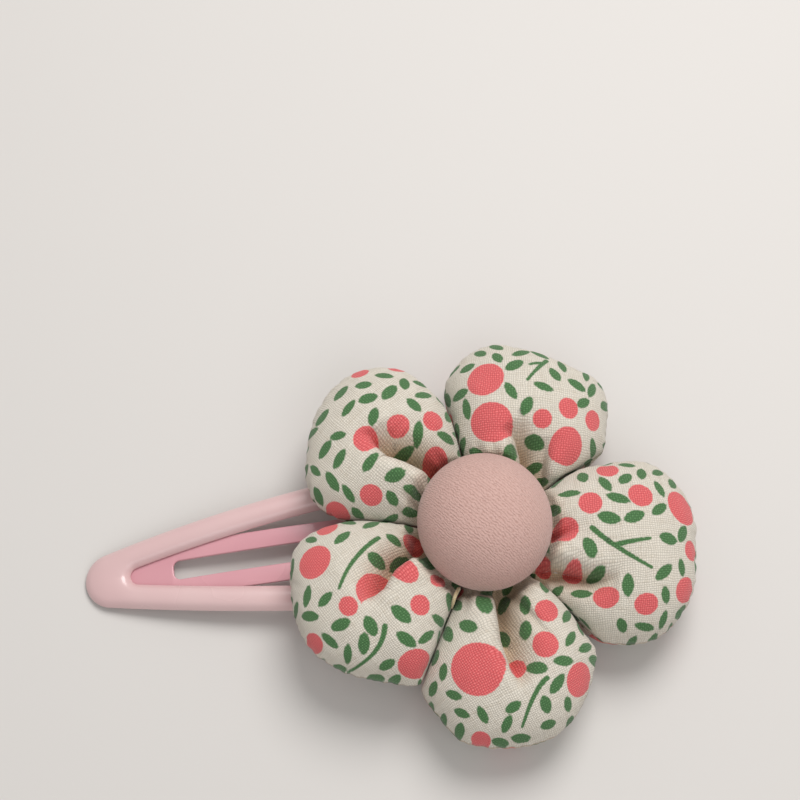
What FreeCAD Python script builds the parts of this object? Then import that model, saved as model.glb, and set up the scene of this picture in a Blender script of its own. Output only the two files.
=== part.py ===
"""Padded flower hair clip: a snap clip with a stuffed five-petal flower and a covered button.

Row frame, millimetres: +Z up from the surface the clip lies on, +X along the clip from its nose to
its wide end. The origin is under the middle of the whole object. The clip's own pieces are drawn with
their nose at x = 0 and the flower's pieces about the flower's axis; each then gets its Placement.
"""

import FreeCAD
import Part
import Sketcher
import math
import os

# Driving dimensions: alias, value, what it is.
DIMENSIONS = [
    ("clip_tip_x", -41.8, "where the nose of the clip lies"),
    ("clip_y", 3.4, "the clip's centre line"),
    ("clip_length", 62.0, "nose to wide end"),
    ("nose_round", 3.9, "outer radius of the nose"),
    ("end_round", 10.6, "outer radius of the wide end"),
    ("arm_bow", 275.0, "outer radius along each arm"),
    ("band", 3.8, "width of the frame's band"),
    ("opening_start", 6.4, "nose to the start of the opening"),
    ("opening_nose", 1.2, "radius of the opening at the nose"),
    ("arch", 240.0, "radius of the frame's underside along its length"),
    ("arch_x", 38.0, "nose to the top of the arch"),
    ("arch_z", -236.7, "height of the arch's centre"),
    ("frame_high", 1.2, "height of the rolled band"),
    ("frame_sheet", 0.6, "thickness of the frame's sheet steel"),
    ("frame_edge", 0.7, "width of each rolled edge"),
    ("frame_fillet", 1.0, "rounding of the band's top edges"),
    ("lug_round", 3.7, "radius of the riveted lugs"),
    ("lug_half", 3.8, "half the width over which the two ends of the band lap"),
    ("lap_gap", 0.04, "gap between the lapped ends"),
    ("lap_end_gap", 0.25, "gap past the tip of each lapped end"),
    ("tongue_start", 3.0, "nose of the clip to the tip of the tongue"),
    ("tongue_wide", 7.7, "width of the tongue"),
    ("tongue_thick", 0.6, "thickness of the tongue"),
    ("tongue_gap", 0.1, "gap between tongue and frame when closed"),
    ("tongue_corner", 3.0, "radius of the tongue's tip corners"),
    ("slot_start", 12.4, "nose of the clip to the tongue's slot"),
    ("slot_end", 46.0, "nose of the clip to the far end of the slot"),
    ("slot_wide", 2.7, "width of the slot"),
    ("slot_corner", 0.9, "corner radius of the slot"),
    ("bend_x", 52.0, "nose of the clip to the line where the tongue bends"),
    ("bend_gap", 0.3, "clearance each side of the bend line"),
    ("root_round", 3.6, "radius of the tongue's riveted end"),
    ("rivet_x", 57.4, "nose of the clip to the rivet"),
    ("rivet_shank", 1.2, "radius of the rivet's shank"),
    ("rivet_play", 0.05, "radial clearance round the shank"),
    ("rivet_seat", 0.03, "gap under each flat head, over the curved sheet"),
    ("rivet_head", 2.1, "radius of the rivet's heads"),
    ("rivet_head_high", 0.35, "height of each head"),
    ("flower_x", 13.5, "axis of the flower"),
    ("flower_y", 0.9, "axis of the flower"),
    ("felt_round", 13.0, "radius of the felt backing"),
    ("felt_z", 4.8, "underside of the felt"),
    ("felt_thick", 1.2, "thickness of the felt"),
    ("glue_round", 1.9, "radius of each glue spot"),
    ("glue_left_x", 55.7, "nose of the clip to the glue spot on the left arm"),
    ("glue_left_y", 7.5, "that spot, off the clip's centre line"),
    ("glue_right_x", 51.4, "nose of the clip to the glue spot on the right arm"),
    ("glue_right_y", -8.7, "that spot, off the clip's centre line"),
    ("glue_rise", 0.03, "gap between frame and glue"),
    ("petal_reach", 16.6, "flower axis to the middle of a petal"),
    ("petal_long", 12.5, "half length of a petal, along the flower's radius"),
    ("petal_wide", 12.2, "half width of a petal"),
    ("low_petal_z", 6.4, "mid height of a petal that reaches the surface below"),
    ("low_petal_high", 6.6, "half height of such a petal"),
    ("high_petal_z", 8.0, "mid height of a petal that rides on the clip's arms"),
    ("high_petal_high", 6.4, "half height of such a petal"),
    ("high_base", 4.65, "underside of a petal that rides on the arms"),
    ("petal_gap", 0.1, "half the gap between neighbouring petals"),
    ("cloth", 0.35, "thickness of the petal cloth with its lining"),
    ("stuffing_play", 0.07, "gap between cloth and stuffing"),
    ("clip_well", 14.4, "radius of the petals' recess over the clip"),
    ("felt_well", 13.2, "radius of the petals' recess over the felt"),
    ("button_well", 9.9, "radius of the petals' recess under the button"),
    ("button_well_z", 11.15, "underside of that recess"),
    ("centre_well", 3.6, "radius of the well in the middle of the flower"),
    ("thread_ring", 3.3, "radius of the gathering thread's turns"),
    ("thread_round", 0.28, "radius of the thread"),
    ("thread_low_z", 8.2, "height of the lower turn"),
    ("thread_step", 0.62, "rise from one turn to the next"),
    ("dome", 9.5, "radius of the button's dome"),
    ("dome_z", 10.4, "height of the dome's centre"),
    ("rim", 1.3, "radius of the button's rolled rim"),
    ("button_round", 9.2, "radius of the button"),
    ("button_cloth", 0.4, "thickness of the button's cloth"),
    ("button_play", 0.03, "gap between the button's cloth and shell"),
    ("button_sheet", 0.45, "thickness of the button's shell"),
    ("tuck", 7.4, "radius that the cloth and rim are tucked in to"),
    ("plate_round", 7.3, "radius of the button's back plate"),
    ("plate_z", 11.55, "underside of the back plate"),
    ("plate_thick", 0.6, "thickness of the back plate"),
    ("shank_wire", 0.45, "radius of the shank's wire"),
    ("shank_round", 1.5, "radius of the shank's loop"),
    ("shank_z", 10.3, "height of the loop's centre"),
    ("shank_top", 12.1, "upper ends of the wire"),
    ("shank_hole_play", 0.04, "clearance round the wire in the back plate"),
    ("sewing_round", 0.3, "radius of the button's sewing thread"),
    ("sewing_half", 1.3, "half the spacing of its two strands"),
    ("sewing_top", 8.9, "height where the strands turn over"),
    ("sewing_low", 4.44, "height of the stitch under the felt"),
    ("stitch_round", 0.33, "radius of that stitch"),
    ("stitch_half", 1.75, "half its length"),
    ("sewing_knot", 0.7, "half width of the knot"),
    ("sewing_knot_high", 0.35, "half height of the knot"),
    ("sewing_play", 0.04, "clearance round each strand in the felt"),
]
# Petal number, azimuth of its middle, azimuths of its two sides in degrees, rides on the clip's arms.
PETALS = [
    (1, 129.0, 96.5, 167.0, True),
    (2, 64.0, 29.0, 96.5, False),
    (3, -17.0, -51.5, 29.0, False),
    (4, 273.5, 239.0, 308.5, False),
    (5, 205.0, 167.0, 239.0, True),
]
TOOL_LENGTH = 60.0  # boxes and cylinders that only cut are this long
NODES = []


def add_sheet(doc):
    """The spreadsheet of driving dimensions."""
    sheet = doc.addObject("Spreadsheet::Sheet", "dims")
    for row, (alias, value, note) in enumerate(DIMENSIONS, start=1):
        sheet.set(f"A{row}", alias)
        sheet.set(f"B{row}", str(value))
        sheet.setAlias(f"B{row}", alias)
        sheet.set(f"C{row}", note)
    doc.recompute()
    return {alias: value for alias, value, note in DIMENSIONS}


def bind(thing, **expressions):
    """Binds properties to expressions over the sheet's cells."""
    for name, expression in expressions.items():
        thing.setExpression(name, expression)
    return thing


def place(thing, x="0", y="0", z="0"):
    """Binds the position of a feature or sub-part."""
    for letter, expression in zip("xyz", (x, y, z)):
        thing.setExpression(f".Placement.Base.{letter}", expression)
    return thing


def cylinder(doc, name, radius, height, x="0", y="0", z="0"):
    made = doc.addObject("Part::Cylinder", name)
    bind(made, Radius=radius, Height=height)
    return place(made, x, y, z)


def arch_cylinder(doc, name, radius):
    """A cylinder across the clip, on the axis of the clip's arch."""
    made = doc.addObject("Part::Cylinder", name)
    made.Placement = FreeCAD.Placement(
        FreeCAD.Vector(), FreeCAD.Rotation(FreeCAD.Vector(1, 0, 0), -90)
    )
    bind(made, Radius=radius, Height=str(TOOL_LENGTH))
    return place(made, "dims.arch_x", str(-TOOL_LENGTH / 2), "dims.arch_z")


def box(doc, name, sizes, corner):
    made = doc.addObject("Part::Box", name)
    bind(made, Length=sizes[0], Width=sizes[1], Height=sizes[2])
    return place(made, *corner)


def cut(doc, name, base, tool):
    made = doc.addObject("Part::Cut", name)
    made.Base = base
    made.Tool = tool
    return made


def common(doc, name, shapes):
    made = doc.addObject("Part::MultiCommon", name)
    made.Shapes = shapes
    return made


def fuse(doc, name, shapes):
    made = doc.addObject("Part::MultiFuse", name)
    made.Shapes = shapes
    return made


def extrude(doc, name, sketch, height):
    made = doc.addObject("Part::Extrusion", name)
    made.Base = sketch
    made.DirMode = "Custom"
    made.Dir = FreeCAD.Vector(0, 0, 1)
    made.LengthFwd = height
    made.Solid = True
    return made


def hold(sketch, name, kind, where, value, expression):
    """Adds a named dimension to a sketch and binds it."""
    index = sketch.addConstraint(Sketcher.Constraint(kind, *where, value))
    sketch.renameConstraint(index, name)
    sketch.setExpression("Constraints." + name, expression)


def body_sketch(body, name, role):
    """A sketch on one of the body's own origin planes."""
    sketch = body.newObject("Sketcher::SketchObject", name)
    plane = [f for f in body.Origin.OriginFeatures if f.Role == role][0]
    sketch.AttachmentSupport = [(plane, "")]
    sketch.MapMode = "FlatFace"
    return sketch


def body_axis(body, role):
    return [f for f in body.Origin.OriginFeatures if f.Role == role][0]


def arc(centre_x, centre_y, radius, first, last):
    """An arc of a circle from the angle first to the angle last, in radians, anticlockwise."""
    centre = FreeCAD.Vector(centre_x, centre_y, 0)
    circle = Part.Circle(centre, FreeCAD.Vector(0, 0, 1), radius)
    return Part.ArcOfCircle(circle, first, last)


def line(x0, y0, x1, y1):
    return Part.LineSegment(FreeCAD.Vector(x0, y0, 0), FreeCAD.Vector(x1, y1, 0))


def add_teardrop(sketch, tag, nose, end, bow):
    """A closed teardrop on the sketch's X axis: two round ends joined by bowed arms.

    nose and end are (centre x, radius, expression of centre x, expression of radius), bow the same
    without centres.
    """
    span = end[0] - nose[0]
    to_nose, to_end = bow[0] - nose[1], bow[0] - end[1]
    bow_x = nose[0] + (to_nose**2 - to_end**2 + span**2) / (2 * span)
    bow_y = -math.sqrt(to_nose**2 - (bow_x - nose[0]) ** 2)
    at_nose = math.atan2(-bow_y, nose[0] - bow_x)
    at_end = math.atan2(-bow_y, end[0] - bow_x)
    first = sketch.GeometryCount
    sketch.addGeometry(arc(nose[0], 0, nose[1], at_nose, 2 * math.pi - at_nose), False)
    sketch.addGeometry(arc(end[0], 0, end[1], -at_end, at_end), False)
    sketch.addGeometry(arc(bow_x, bow_y, bow[0], at_end, at_nose), False)
    sketch.addGeometry(arc(bow_x, -bow_y, bow[0], -at_nose, -at_end), False)
    round_nose, round_end, upper, lower = range(first, first + 4)
    for joined in (
        (round_nose, 1, upper, 2),
        (upper, 1, round_end, 2),
        (round_end, 1, lower, 2),
        (round_nose, 2, lower, 1),
    ):
        sketch.addConstraint(Sketcher.Constraint("Tangent", *joined))
    sketch.addConstraint(Sketcher.Constraint("PointOnObject", round_nose, 3, -1))
    sketch.addConstraint(Sketcher.Constraint("PointOnObject", round_end, 3, -1))
    sketch.addConstraint(Sketcher.Constraint("Equal", upper, lower))
    hold(sketch, tag + "_nose_x", "DistanceX", (round_nose, 3), nose[0], nose[2])
    hold(sketch, tag + "_end_x", "DistanceX", (round_end, 3), end[0], end[2])
    hold(sketch, tag + "_nose_round", "Radius", (round_nose,), nose[1], nose[3])
    hold(sketch, tag + "_end_round", "Radius", (round_end,), end[1], end[3])
    hold(sketch, tag + "_bow", "Radius", (upper,), bow[0], bow[1])


def frame_ring(doc, name, d, inset, inset_cell):
    """The plan of the frame's band, drawn in by inset on both of its edges."""
    sketch = doc.addObject("Sketcher::SketchObject", name)
    end_x = d["clip_length"] - d["end_round"]
    end_x_cell = "dims.clip_length - dims.end_round"
    opening_x = d["opening_start"] + d["opening_nose"]
    add_teardrop(
        sketch,
        "outer",
        (d["nose_round"], d["nose_round"] - inset, "dims.nose_round", f"dims.nose_round - {inset_cell}"),
        (end_x, d["end_round"] - inset, end_x_cell, f"dims.end_round - {inset_cell}"),
        (d["arm_bow"] - inset, f"dims.arm_bow - {inset_cell}"),
    )
    grown = d["band"] - inset
    add_teardrop(
        sketch,
        "inner",
        (
            opening_x,
            d["opening_nose"] + inset,
            "dims.opening_start + dims.opening_nose",
            f"dims.opening_nose + {inset_cell}",
        ),
        (end_x, d["end_round"] - grown, end_x_cell, f"dims.end_round - dims.band + {inset_cell}"),
        (d["arm_bow"] - grown, f"dims.arm_bow - dims.band + {inset_cell}"),
    )
    return sketch


def arched(doc, name, plan, inner, outer):
    """What a plan keeps of the arched layer between two radii."""
    solid = common(doc, name + "_under_arch", [plan, arch_cylinder(doc, name + "_outer", outer)])
    return cut(doc, name, solid, arch_cylinder(doc, name + "_inner", inner))


def rivet_tool(doc, name, radius):
    """A cylinder on the rivet's axis, square to the arch there."""
    made = doc.addObject("Part::Cylinder", name)
    made.Placement = FreeCAD.Placement(
        FreeCAD.Vector(), FreeCAD.Rotation(FreeCAD.Vector(0, 1, 0), 0)
    )
    bind(made, Radius=radius, Height="dims.arch + 10")
    made.setExpression(
        ".Placement.Rotation.Angle", "asin((dims.rivet_x - dims.arch_x) / dims.arch)"
    )
    made.setExpression(".Placement.Rotation.Axis.y", "1")
    return place(made, "dims.arch_x", "0", "dims.arch_z")


def crown_edges(shape, d):
    """The long edges of the band's top surface, numbered from 1."""
    top = d["arch"] + d["frame_high"]
    found = []
    for number, edge in enumerate(shape.Edges, start=1):
        ends = [edge.valueAt(t) for t in (edge.FirstParameter, edge.LastParameter)]
        middle = edge.valueAt((edge.FirstParameter + edge.LastParameter) / 2)
        heights = [math.hypot(p.x - d["arch_x"], p.z - d["arch_z"]) for p in ends + [middle]]
        if min(heights) > top - 0.01:
            found.append(number)
    return found


def make_frame(doc, d):
    """Teardrop band of sheet steel, edges rolled down, its two ends lapped and riveted."""
    band = extrude(doc, "band_plan", frame_ring(doc, "band_outline", d, 0, "0"), TOOL_LENGTH / 4)
    lug = cylinder(doc, "lug_disc", "dims.lug_round", str(TOOL_LENGTH / 4), "dims.rivet_x")
    plan = fuse(doc, "band_and_lug", [band, lug])
    plan.Refine = True
    blank = arched(doc, "band_blank", plan, "dims.arch", "dims.arch + dims.frame_high")
    doc.recompute()
    crowned = doc.addObject("Part::Fillet", "crowned_band")
    crowned.Base = blank
    crowned.Edges = [(n, d["frame_fillet"], d["frame_fillet"]) for n in crown_edges(blank.Shape, d)]
    channel_plan = extrude(
        doc,
        "channel_plan",
        frame_ring(doc, "channel_outline", d, d["frame_edge"], "dims.frame_edge"),
        TOOL_LENGTH / 4,
    )
    channel_arch = arch_cylinder(doc, "channel_arch", "dims.arch + dims.frame_high - dims.frame_sheet")
    channel = common(doc, "channel", [channel_plan, channel_arch])
    solid_lug = cylinder(
        doc, "solid_lug", "dims.lug_round + 1", str(TOOL_LENGTH / 4), "dims.rivet_x"
    )
    rolled = cut(doc, "rolled_band", crowned, cut(doc, "channel_tool", channel, solid_lug))
    lap = lap_tools(doc)
    hole = rivet_tool(doc, "frame_rivet_hole", "dims.rivet_shank + dims.rivet_play")
    made = cut(doc, "clip_frame", rolled, fuse(doc, "frame_cuts", lap + [hole]))
    return finish_clip(made)


def lap_tools(doc):
    """A Z-shaped slit that turns the closed wide end into two lapped ends."""
    middle = "dims.arch + dims.frame_high - dims.frame_sheet"
    across = [str(TOOL_LENGTH / 4), "2 * dims.lug_half", str(TOOL_LENGTH / 4)]
    start = "dims.rivet_x - dims.lug_round - 1"
    layer = common(
        doc,
        "lap_layer",
        [
            box(doc, "lap_box", across, (start, "-dims.lug_half", "0")),
            arch_cylinder(doc, "lap_outer", middle + " + dims.lap_gap / 2"),
        ],
    )
    slit = cut(doc, "lap_slit", layer, arch_cylinder(doc, "lap_inner", middle + " - dims.lap_gap / 2"))
    end = [str(TOOL_LENGTH / 4), "dims.lap_end_gap", str(TOOL_LENGTH / 4)]
    upper_box = box(doc, "upper_end_box", end, (start, "-dims.lug_half - dims.lap_end_gap", "0"))
    upper = cut(doc, "upper_end", upper_box, arch_cylinder(doc, "upper_end_arch", middle))
    lower_box = box(doc, "lower_end_box", end, (start, "dims.lug_half", "0"))
    lower = common(doc, "lower_end", [lower_box, arch_cylinder(doc, "lower_end_arch", middle)])
    return [slit, upper, lower]


def finish_clip(made):
    """Moves a finished piece of the clip to its place and lists it."""
    place(made, "dims.clip_tip_x", "dims.clip_y")
    NODES.append(made)
    return made


def rounded_strip(sketch, tag, sizes, cells):
    """A closed strip along X with rounded ends: start, end, width and corner radius."""
    start, end, wide, corner = sizes
    half, turn = wide / 2, math.pi / 2
    first = sketch.GeometryCount
    for shape in (
        line(start + corner, half, end - corner, half),
        arc(end - corner, half - corner, corner, 0, turn),
        line(end, half - corner, end, corner - half),
        arc(end - corner, corner - half, corner, -turn, 0),
        line(end - corner, -half, start + corner, -half),
        arc(start + corner, corner - half, corner, math.pi, 3 * turn),
        line(start, corner - half, start, half - corner),
        arc(start + corner, half - corner, corner, turn, math.pi),
    ):
        sketch.addGeometry(shape, False)
    ends = [(0, 2, 1, 2), (1, 1, 2, 1), (2, 2, 3, 2), (3, 1, 4, 1), (4, 2, 5, 2), (5, 1, 6, 1), (6, 2, 7, 2), (7, 1, 0, 1)]
    for a, a_end, b, b_end in ends:
        sketch.addConstraint(Sketcher.Constraint("Tangent", first + a, a_end, first + b, b_end))
    for other in (3, 5, 7):
        sketch.addConstraint(Sketcher.Constraint("Equal", first + 1, first + other))
    sketch.addConstraint(Sketcher.Constraint("Horizontal", first))
    sketch.addConstraint(Sketcher.Constraint("Vertical", first + 2))
    sketch.addConstraint(Sketcher.Constraint("Symmetric", first, 1, first + 4, 2, -1))
    hold(sketch, tag + "_corner", "Radius", (first + 1,), corner, cells[3])
    hold(sketch, tag + "_start", "DistanceX", (first + 6, 1), start, cells[0])
    hold(sketch, tag + "_end", "DistanceX", (first + 2, 1), end, cells[1])
    hold(sketch, tag + "_wide", "DistanceY", (first + 4, 1, first, 2), wide, cells[2])


def make_tongue(doc, d):
    """Slotted spring tongue under the frame, up to the line where it bends."""
    sketch = doc.addObject("Sketcher::SketchObject", "tongue_outline")
    cells = (
        "dims.tongue_start",
        "dims.bend_x + 3 * dims.tongue_corner",
        "dims.tongue_wide",
        "dims.tongue_corner",
    )
    sizes = (d["tongue_start"], d["bend_x"] + 3 * d["tongue_corner"], d["tongue_wide"], d["tongue_corner"])
    rounded_strip(sketch, "blade", sizes, cells)
    slot_sizes = (d["slot_start"], d["slot_end"], d["slot_wide"], d["slot_corner"])
    slot_cells = ("dims.slot_start", "dims.slot_end", "dims.slot_wide", "dims.slot_corner")
    rounded_strip(sketch, "slot", slot_sizes, slot_cells)
    plan = extrude(doc, "tongue_plan", sketch, TOOL_LENGTH / 4)
    top = "dims.arch - dims.tongue_gap"
    whole = arched(doc, "whole_tongue", plan, top + " - dims.tongue_thick", top)
    past_bend = box(
        doc,
        "past_bend",
        [str(TOOL_LENGTH), str(TOOL_LENGTH), str(TOOL_LENGTH)],
        ("dims.bend_x", str(-TOOL_LENGTH / 2), str(-TOOL_LENGTH / 2)),
    )
    made = cut(doc, "clip_tongue", whole, past_bend)
    return finish_clip(made)


def make_tongue_root(doc):
    """The riveted end of the tongue, past its bend line."""
    disc = cylinder(doc, "root_disc", "dims.root_round", str(TOOL_LENGTH / 4), "dims.rivet_x")
    neck = box(
        doc,
        "root_neck",
        ["dims.rivet_x - dims.bend_x", "dims.tongue_wide", str(TOOL_LENGTH / 4)],
        ("dims.bend_x + dims.bend_gap", "-dims.tongue_wide / 2", "0"),
    )
    plan = fuse(doc, "root_plan", [disc, neck])
    top = "dims.arch - dims.tongue_gap"
    sheet = arched(doc, "root_sheet", plan, top + " - dims.tongue_thick", top)
    clear = box(
        doc,
        "bend_clearance",
        [str(TOOL_LENGTH / 4), str(TOOL_LENGTH), str(TOOL_LENGTH / 4)],
        (f"dims.bend_x + dims.bend_gap - {TOOL_LENGTH / 4}", str(-TOOL_LENGTH / 2), "0"),
    )
    hole = rivet_tool(doc, "root_rivet_hole", "dims.rivet_shank + dims.rivet_play")
    made = cut(doc, "clip_tongue_root", sheet, fuse(doc, "root_cuts", [clear, hole]))
    return finish_clip(made)


def make_rivet(doc, d):
    """Rivet through the two lapped ends and the tongue's root, square to the arch."""
    body = doc.addObject("PartDesign::Body", "clip_rivet")
    sketch = body_sketch(body, "rivet_profile", "XZ_Plane")
    low = d["arch"] - d["tongue_gap"] - d["tongue_thick"] - d["rivet_seat"]
    high = d["arch"] + d["frame_high"] + d["rivet_seat"]
    low_cell = "dims.arch - dims.tongue_gap - dims.tongue_thick - dims.rivet_seat"
    high_cell = "dims.arch + dims.frame_high + dims.rivet_seat"
    rise = d["rivet_head_high"]
    corners = [
        (0, low - rise, None, None),
        (d["rivet_head"], low - rise, "dims.rivet_head", low_cell + " - dims.rivet_head_high"),
        (d["rivet_head"], low, "dims.rivet_head", low_cell),
        (d["rivet_shank"], low, "dims.rivet_shank", low_cell),
        (d["rivet_shank"], high, "dims.rivet_shank", high_cell),
        (d["rivet_head"], high, "dims.rivet_head", high_cell),
        (d["rivet_head"], high + rise, "dims.rivet_head", high_cell + " + dims.rivet_head_high"),
        (0, high + rise, None, None),
    ]
    profile(sketch, corners)
    turned = body.newObject("PartDesign::Revolution", "rivet_turned")
    turned.Profile = sketch
    turned.ReferenceAxis = (sketch, ["V_Axis"])
    turned.Angle = 360
    doc.recompute()
    domed = body.newObject("PartDesign::Fillet", "rivet_domed")
    rims = [
        f"Edge{n}"
        for n, e in enumerate(turned.Shape.Edges, start=1)
        if abs(getattr(e.Curve, "Radius", 0) - d["rivet_head"]) < 1e-6
        and min(abs(e.CenterOfMass.z - low + rise), abs(e.CenterOfMass.z - high - rise)) < 1e-6
    ]
    domed.Base = (turned, rims)
    domed.Radius = rise * 0.8
    body.Placement = FreeCAD.Placement(
        FreeCAD.Vector(), FreeCAD.Rotation(FreeCAD.Vector(0, 1, 0), 1)
    )
    body.setExpression(
        ".Placement.Rotation.Angle", "asin((dims.rivet_x - dims.arch_x) / dims.arch)"
    )
    place(body, "dims.clip_tip_x + dims.arch_x", "dims.clip_y", "dims.arch_z")
    NODES.append(body)


def profile(sketch, corners):
    """A closed profile through corners (x, y, cell of x, cell of y); a corner with no x cell is on the axis."""
    count = len(corners)
    for k in range(count):
        a, b = corners[k], corners[(k + 1) % count]
        sketch.addGeometry(line(a[0], a[1], b[0], b[1]), False)
    for k in range(count):
        sketch.addConstraint(Sketcher.Constraint("Coincident", k, 2, (k + 1) % count, 1))
    for k, (x, y, x_cell, y_cell) in enumerate(corners):
        if x_cell is None:
            sketch.addConstraint(Sketcher.Constraint("PointOnObject", k, 1, -2))
            level = 0 if k == 0 else k - 1
            sketch.addConstraint(Sketcher.Constraint("Horizontal", level))
        else:
            hold(sketch, f"across_{k}", "DistanceX", (k, 1), x, x_cell)
            hold(sketch, f"up_{k}", "DistanceY", (k, 1), y, y_cell)


def make_felt(doc, d):
    """Felt disc between flower and clip, with two holes for the button's thread."""
    body = doc.addObject("PartDesign::Body", "backing_felt")
    sketch = body_sketch(body, "felt_disc", "XY_Plane")
    up = FreeCAD.Vector(0, 0, 1)
    sketch.addGeometry(Part.Circle(FreeCAD.Vector(), up, d["felt_round"]), False)
    sketch.addConstraint(Sketcher.Constraint("Coincident", 0, 3, -1, 1))
    hold(sketch, "felt_round", "Radius", (0,), d["felt_round"], "dims.felt_round")
    needle = d["sewing_round"] + d["sewing_play"]
    for number, side in ((1, 1), (2, -1)):
        centre = FreeCAD.Vector(0, side * d["sewing_half"], 0)
        sketch.addGeometry(Part.Circle(centre, up, needle), False)
        sketch.addConstraint(Sketcher.Constraint("PointOnObject", number, 3, -2))
        hold(sketch, f"needle_{number}", "Radius", (number,), needle, "dims.sewing_round + dims.sewing_play")
        sign = "" if side > 0 else "-"
        hold(sketch, f"off_{number}", "DistanceY", (number, 3), side * d["sewing_half"], sign + "dims.sewing_half")
    pad = body.newObject("PartDesign::Pad", "felt_pad")
    pad.Profile = sketch
    pad.setExpression("Length", "dims.felt_thick")
    place(body, "dims.flower_x", "dims.flower_y", "dims.felt_z")
    NODES.append(body)


def make_glue(doc):
    """Three spots of glue between the felt and the frame: one on each arm and one on the rivet."""
    spots = []
    top = "dims.arch + dims.frame_high + dims.glue_rise"
    for name, x, y in (
        ("left_arm", "dims.glue_left_x", "dims.glue_left_y"),
        ("right_arm", "dims.glue_right_x", "dims.glue_right_y"),
    ):
        post = cylinder(doc, "glue_" + name, "dims.glue_round", "dims.felt_z", x, y)
        spots.append(cut(doc, "spot_" + name, post, arch_cylinder(doc, "arch_" + name, top)))
    head = top + " + dims.rivet_seat + dims.rivet_head_high"
    post = cylinder(doc, "glue_rivet", "dims.glue_round", "dims.felt_z", "dims.rivet_x")
    spots.append(cut(doc, "spot_rivet", post, arch_cylinder(doc, "arch_rivet", head)))
    made = doc.addObject("Part::Compound", "glue_spots")
    made.Links = spots
    finish_clip(made)


def side_box(doc, name, azimuth, side, inset, base):
    """Everything on one side of the upright plane at an azimuth, set off by inset."""
    made = doc.addObject("Part::Box", name)
    made.Placement = FreeCAD.Placement(
        FreeCAD.Vector(), FreeCAD.Rotation(FreeCAD.Vector(0, 0, 1), azimuth)
    )
    bind(made, Length=str(TOOL_LENGTH), Width=str(TOOL_LENGTH), Height=str(TOOL_LENGTH / 2))
    off = f"({inset})" if side > 0 else f"(-{TOOL_LENGTH} - ({inset}))"
    return place(made, f"-sin({azimuth}) * {off}", f"cos({azimuth}) * {off}", base)


def petal_solid(doc, name, petal, inset, wells):
    """A petal's plump solid, drawn in by inset on every side."""
    number, azimuth, first, last, rides = petal
    kind = "high" if rides else "low"
    lobe = doc.addObject("Part::Ellipsoid", name + "_lobe")
    lobe.Placement = FreeCAD.Placement(
        FreeCAD.Vector(), FreeCAD.Rotation(FreeCAD.Vector(0, 0, 1), azimuth)
    )
    bind(
        lobe,
        Radius1=f"dims.{kind}_petal_high - {inset}",
        Radius2=f"dims.petal_long - {inset}",
        Radius3=f"dims.petal_wide - {inset}",
    )
    place(
        lobe,
        f"dims.petal_reach * cos({azimuth})",
        f"dims.petal_reach * sin({azimuth})",
        f"dims.{kind}_petal_z",
    )
    base = f"dims.high_base + {inset}" if rides else inset
    gap = f"dims.petal_gap + {inset}"
    sides = [
        side_box(doc, name + "_from", first, 1, gap, base),
        side_box(doc, name + "_to", last, -1, gap, base),
    ]
    return cut(doc, name, common(doc, name + "_sector", [lobe] + sides), wells)


def petal_wells(doc, name, inset):
    """The recesses that every petal leaves for the clip, felt, button and thread, grown by inset."""
    below = f"-{TOOL_LENGTH / 4}"
    return fuse(
        doc,
        name,
        [
            cylinder(
                doc, name + "_clip", f"dims.clip_well + {inset}",
                f"{TOOL_LENGTH / 4} + dims.high_base + {inset}", z=below,
            ),
            cylinder(
                doc, name + "_felt", f"dims.felt_well + {inset}",
                f"{TOOL_LENGTH / 4} + dims.felt_z + dims.felt_thick + {inset}", z=below,
            ),
            cylinder(
                doc, name + "_button", f"dims.button_well + {inset}", str(TOOL_LENGTH / 4),
                z=f"dims.button_well_z - {inset}",
            ),
            cylinder(
                doc, name + "_centre", f"dims.centre_well + {inset}", str(TOOL_LENGTH), z=below
            ),
        ],
    )


def make_petals(doc):
    """Five stuffed petals: a closed cloth cover and the stuffing inside it."""
    insets = {
        "outside": "0",
        "inside": "dims.cloth",
        "stuffing": "(dims.cloth + dims.stuffing_play)",
    }
    wells = {kind: petal_wells(doc, kind + "_wells", inset) for kind, inset in insets.items()}
    for petal in PETALS:
        number = petal[0]
        outside, inside = (
            petal_solid(doc, f"petal_{number}_{kind}", petal, insets[kind], wells[kind])
            for kind in ("outside", "inside")
        )
        filling = petal_solid(
            doc, f"petal_{number}_filling", petal, insets["stuffing"], wells["stuffing"]
        )
        cover = cut(doc, f"petal_{number}_cover", outside, inside)
        for made in (cover, filling):
            place(made, "dims.flower_x", "dims.flower_y")
            NODES.append(made)


def make_gathering_thread(doc):
    """Two turns of thread that draw the petals' inner ends together."""
    turns = []
    for turn in range(2):
        ring = doc.addObject("Part::Torus", f"thread_turn_{turn + 1}")
        bind(ring, Radius1="dims.thread_ring", Radius2="dims.thread_round")
        turns.append(place(ring, z=f"dims.thread_low_z + {turn} * dims.thread_step"))
    made = doc.addObject("Part::Compound", "gathering_thread")
    made.Links = turns
    place(made, "dims.flower_x", "dims.flower_y")
    NODES.append(made)


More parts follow.
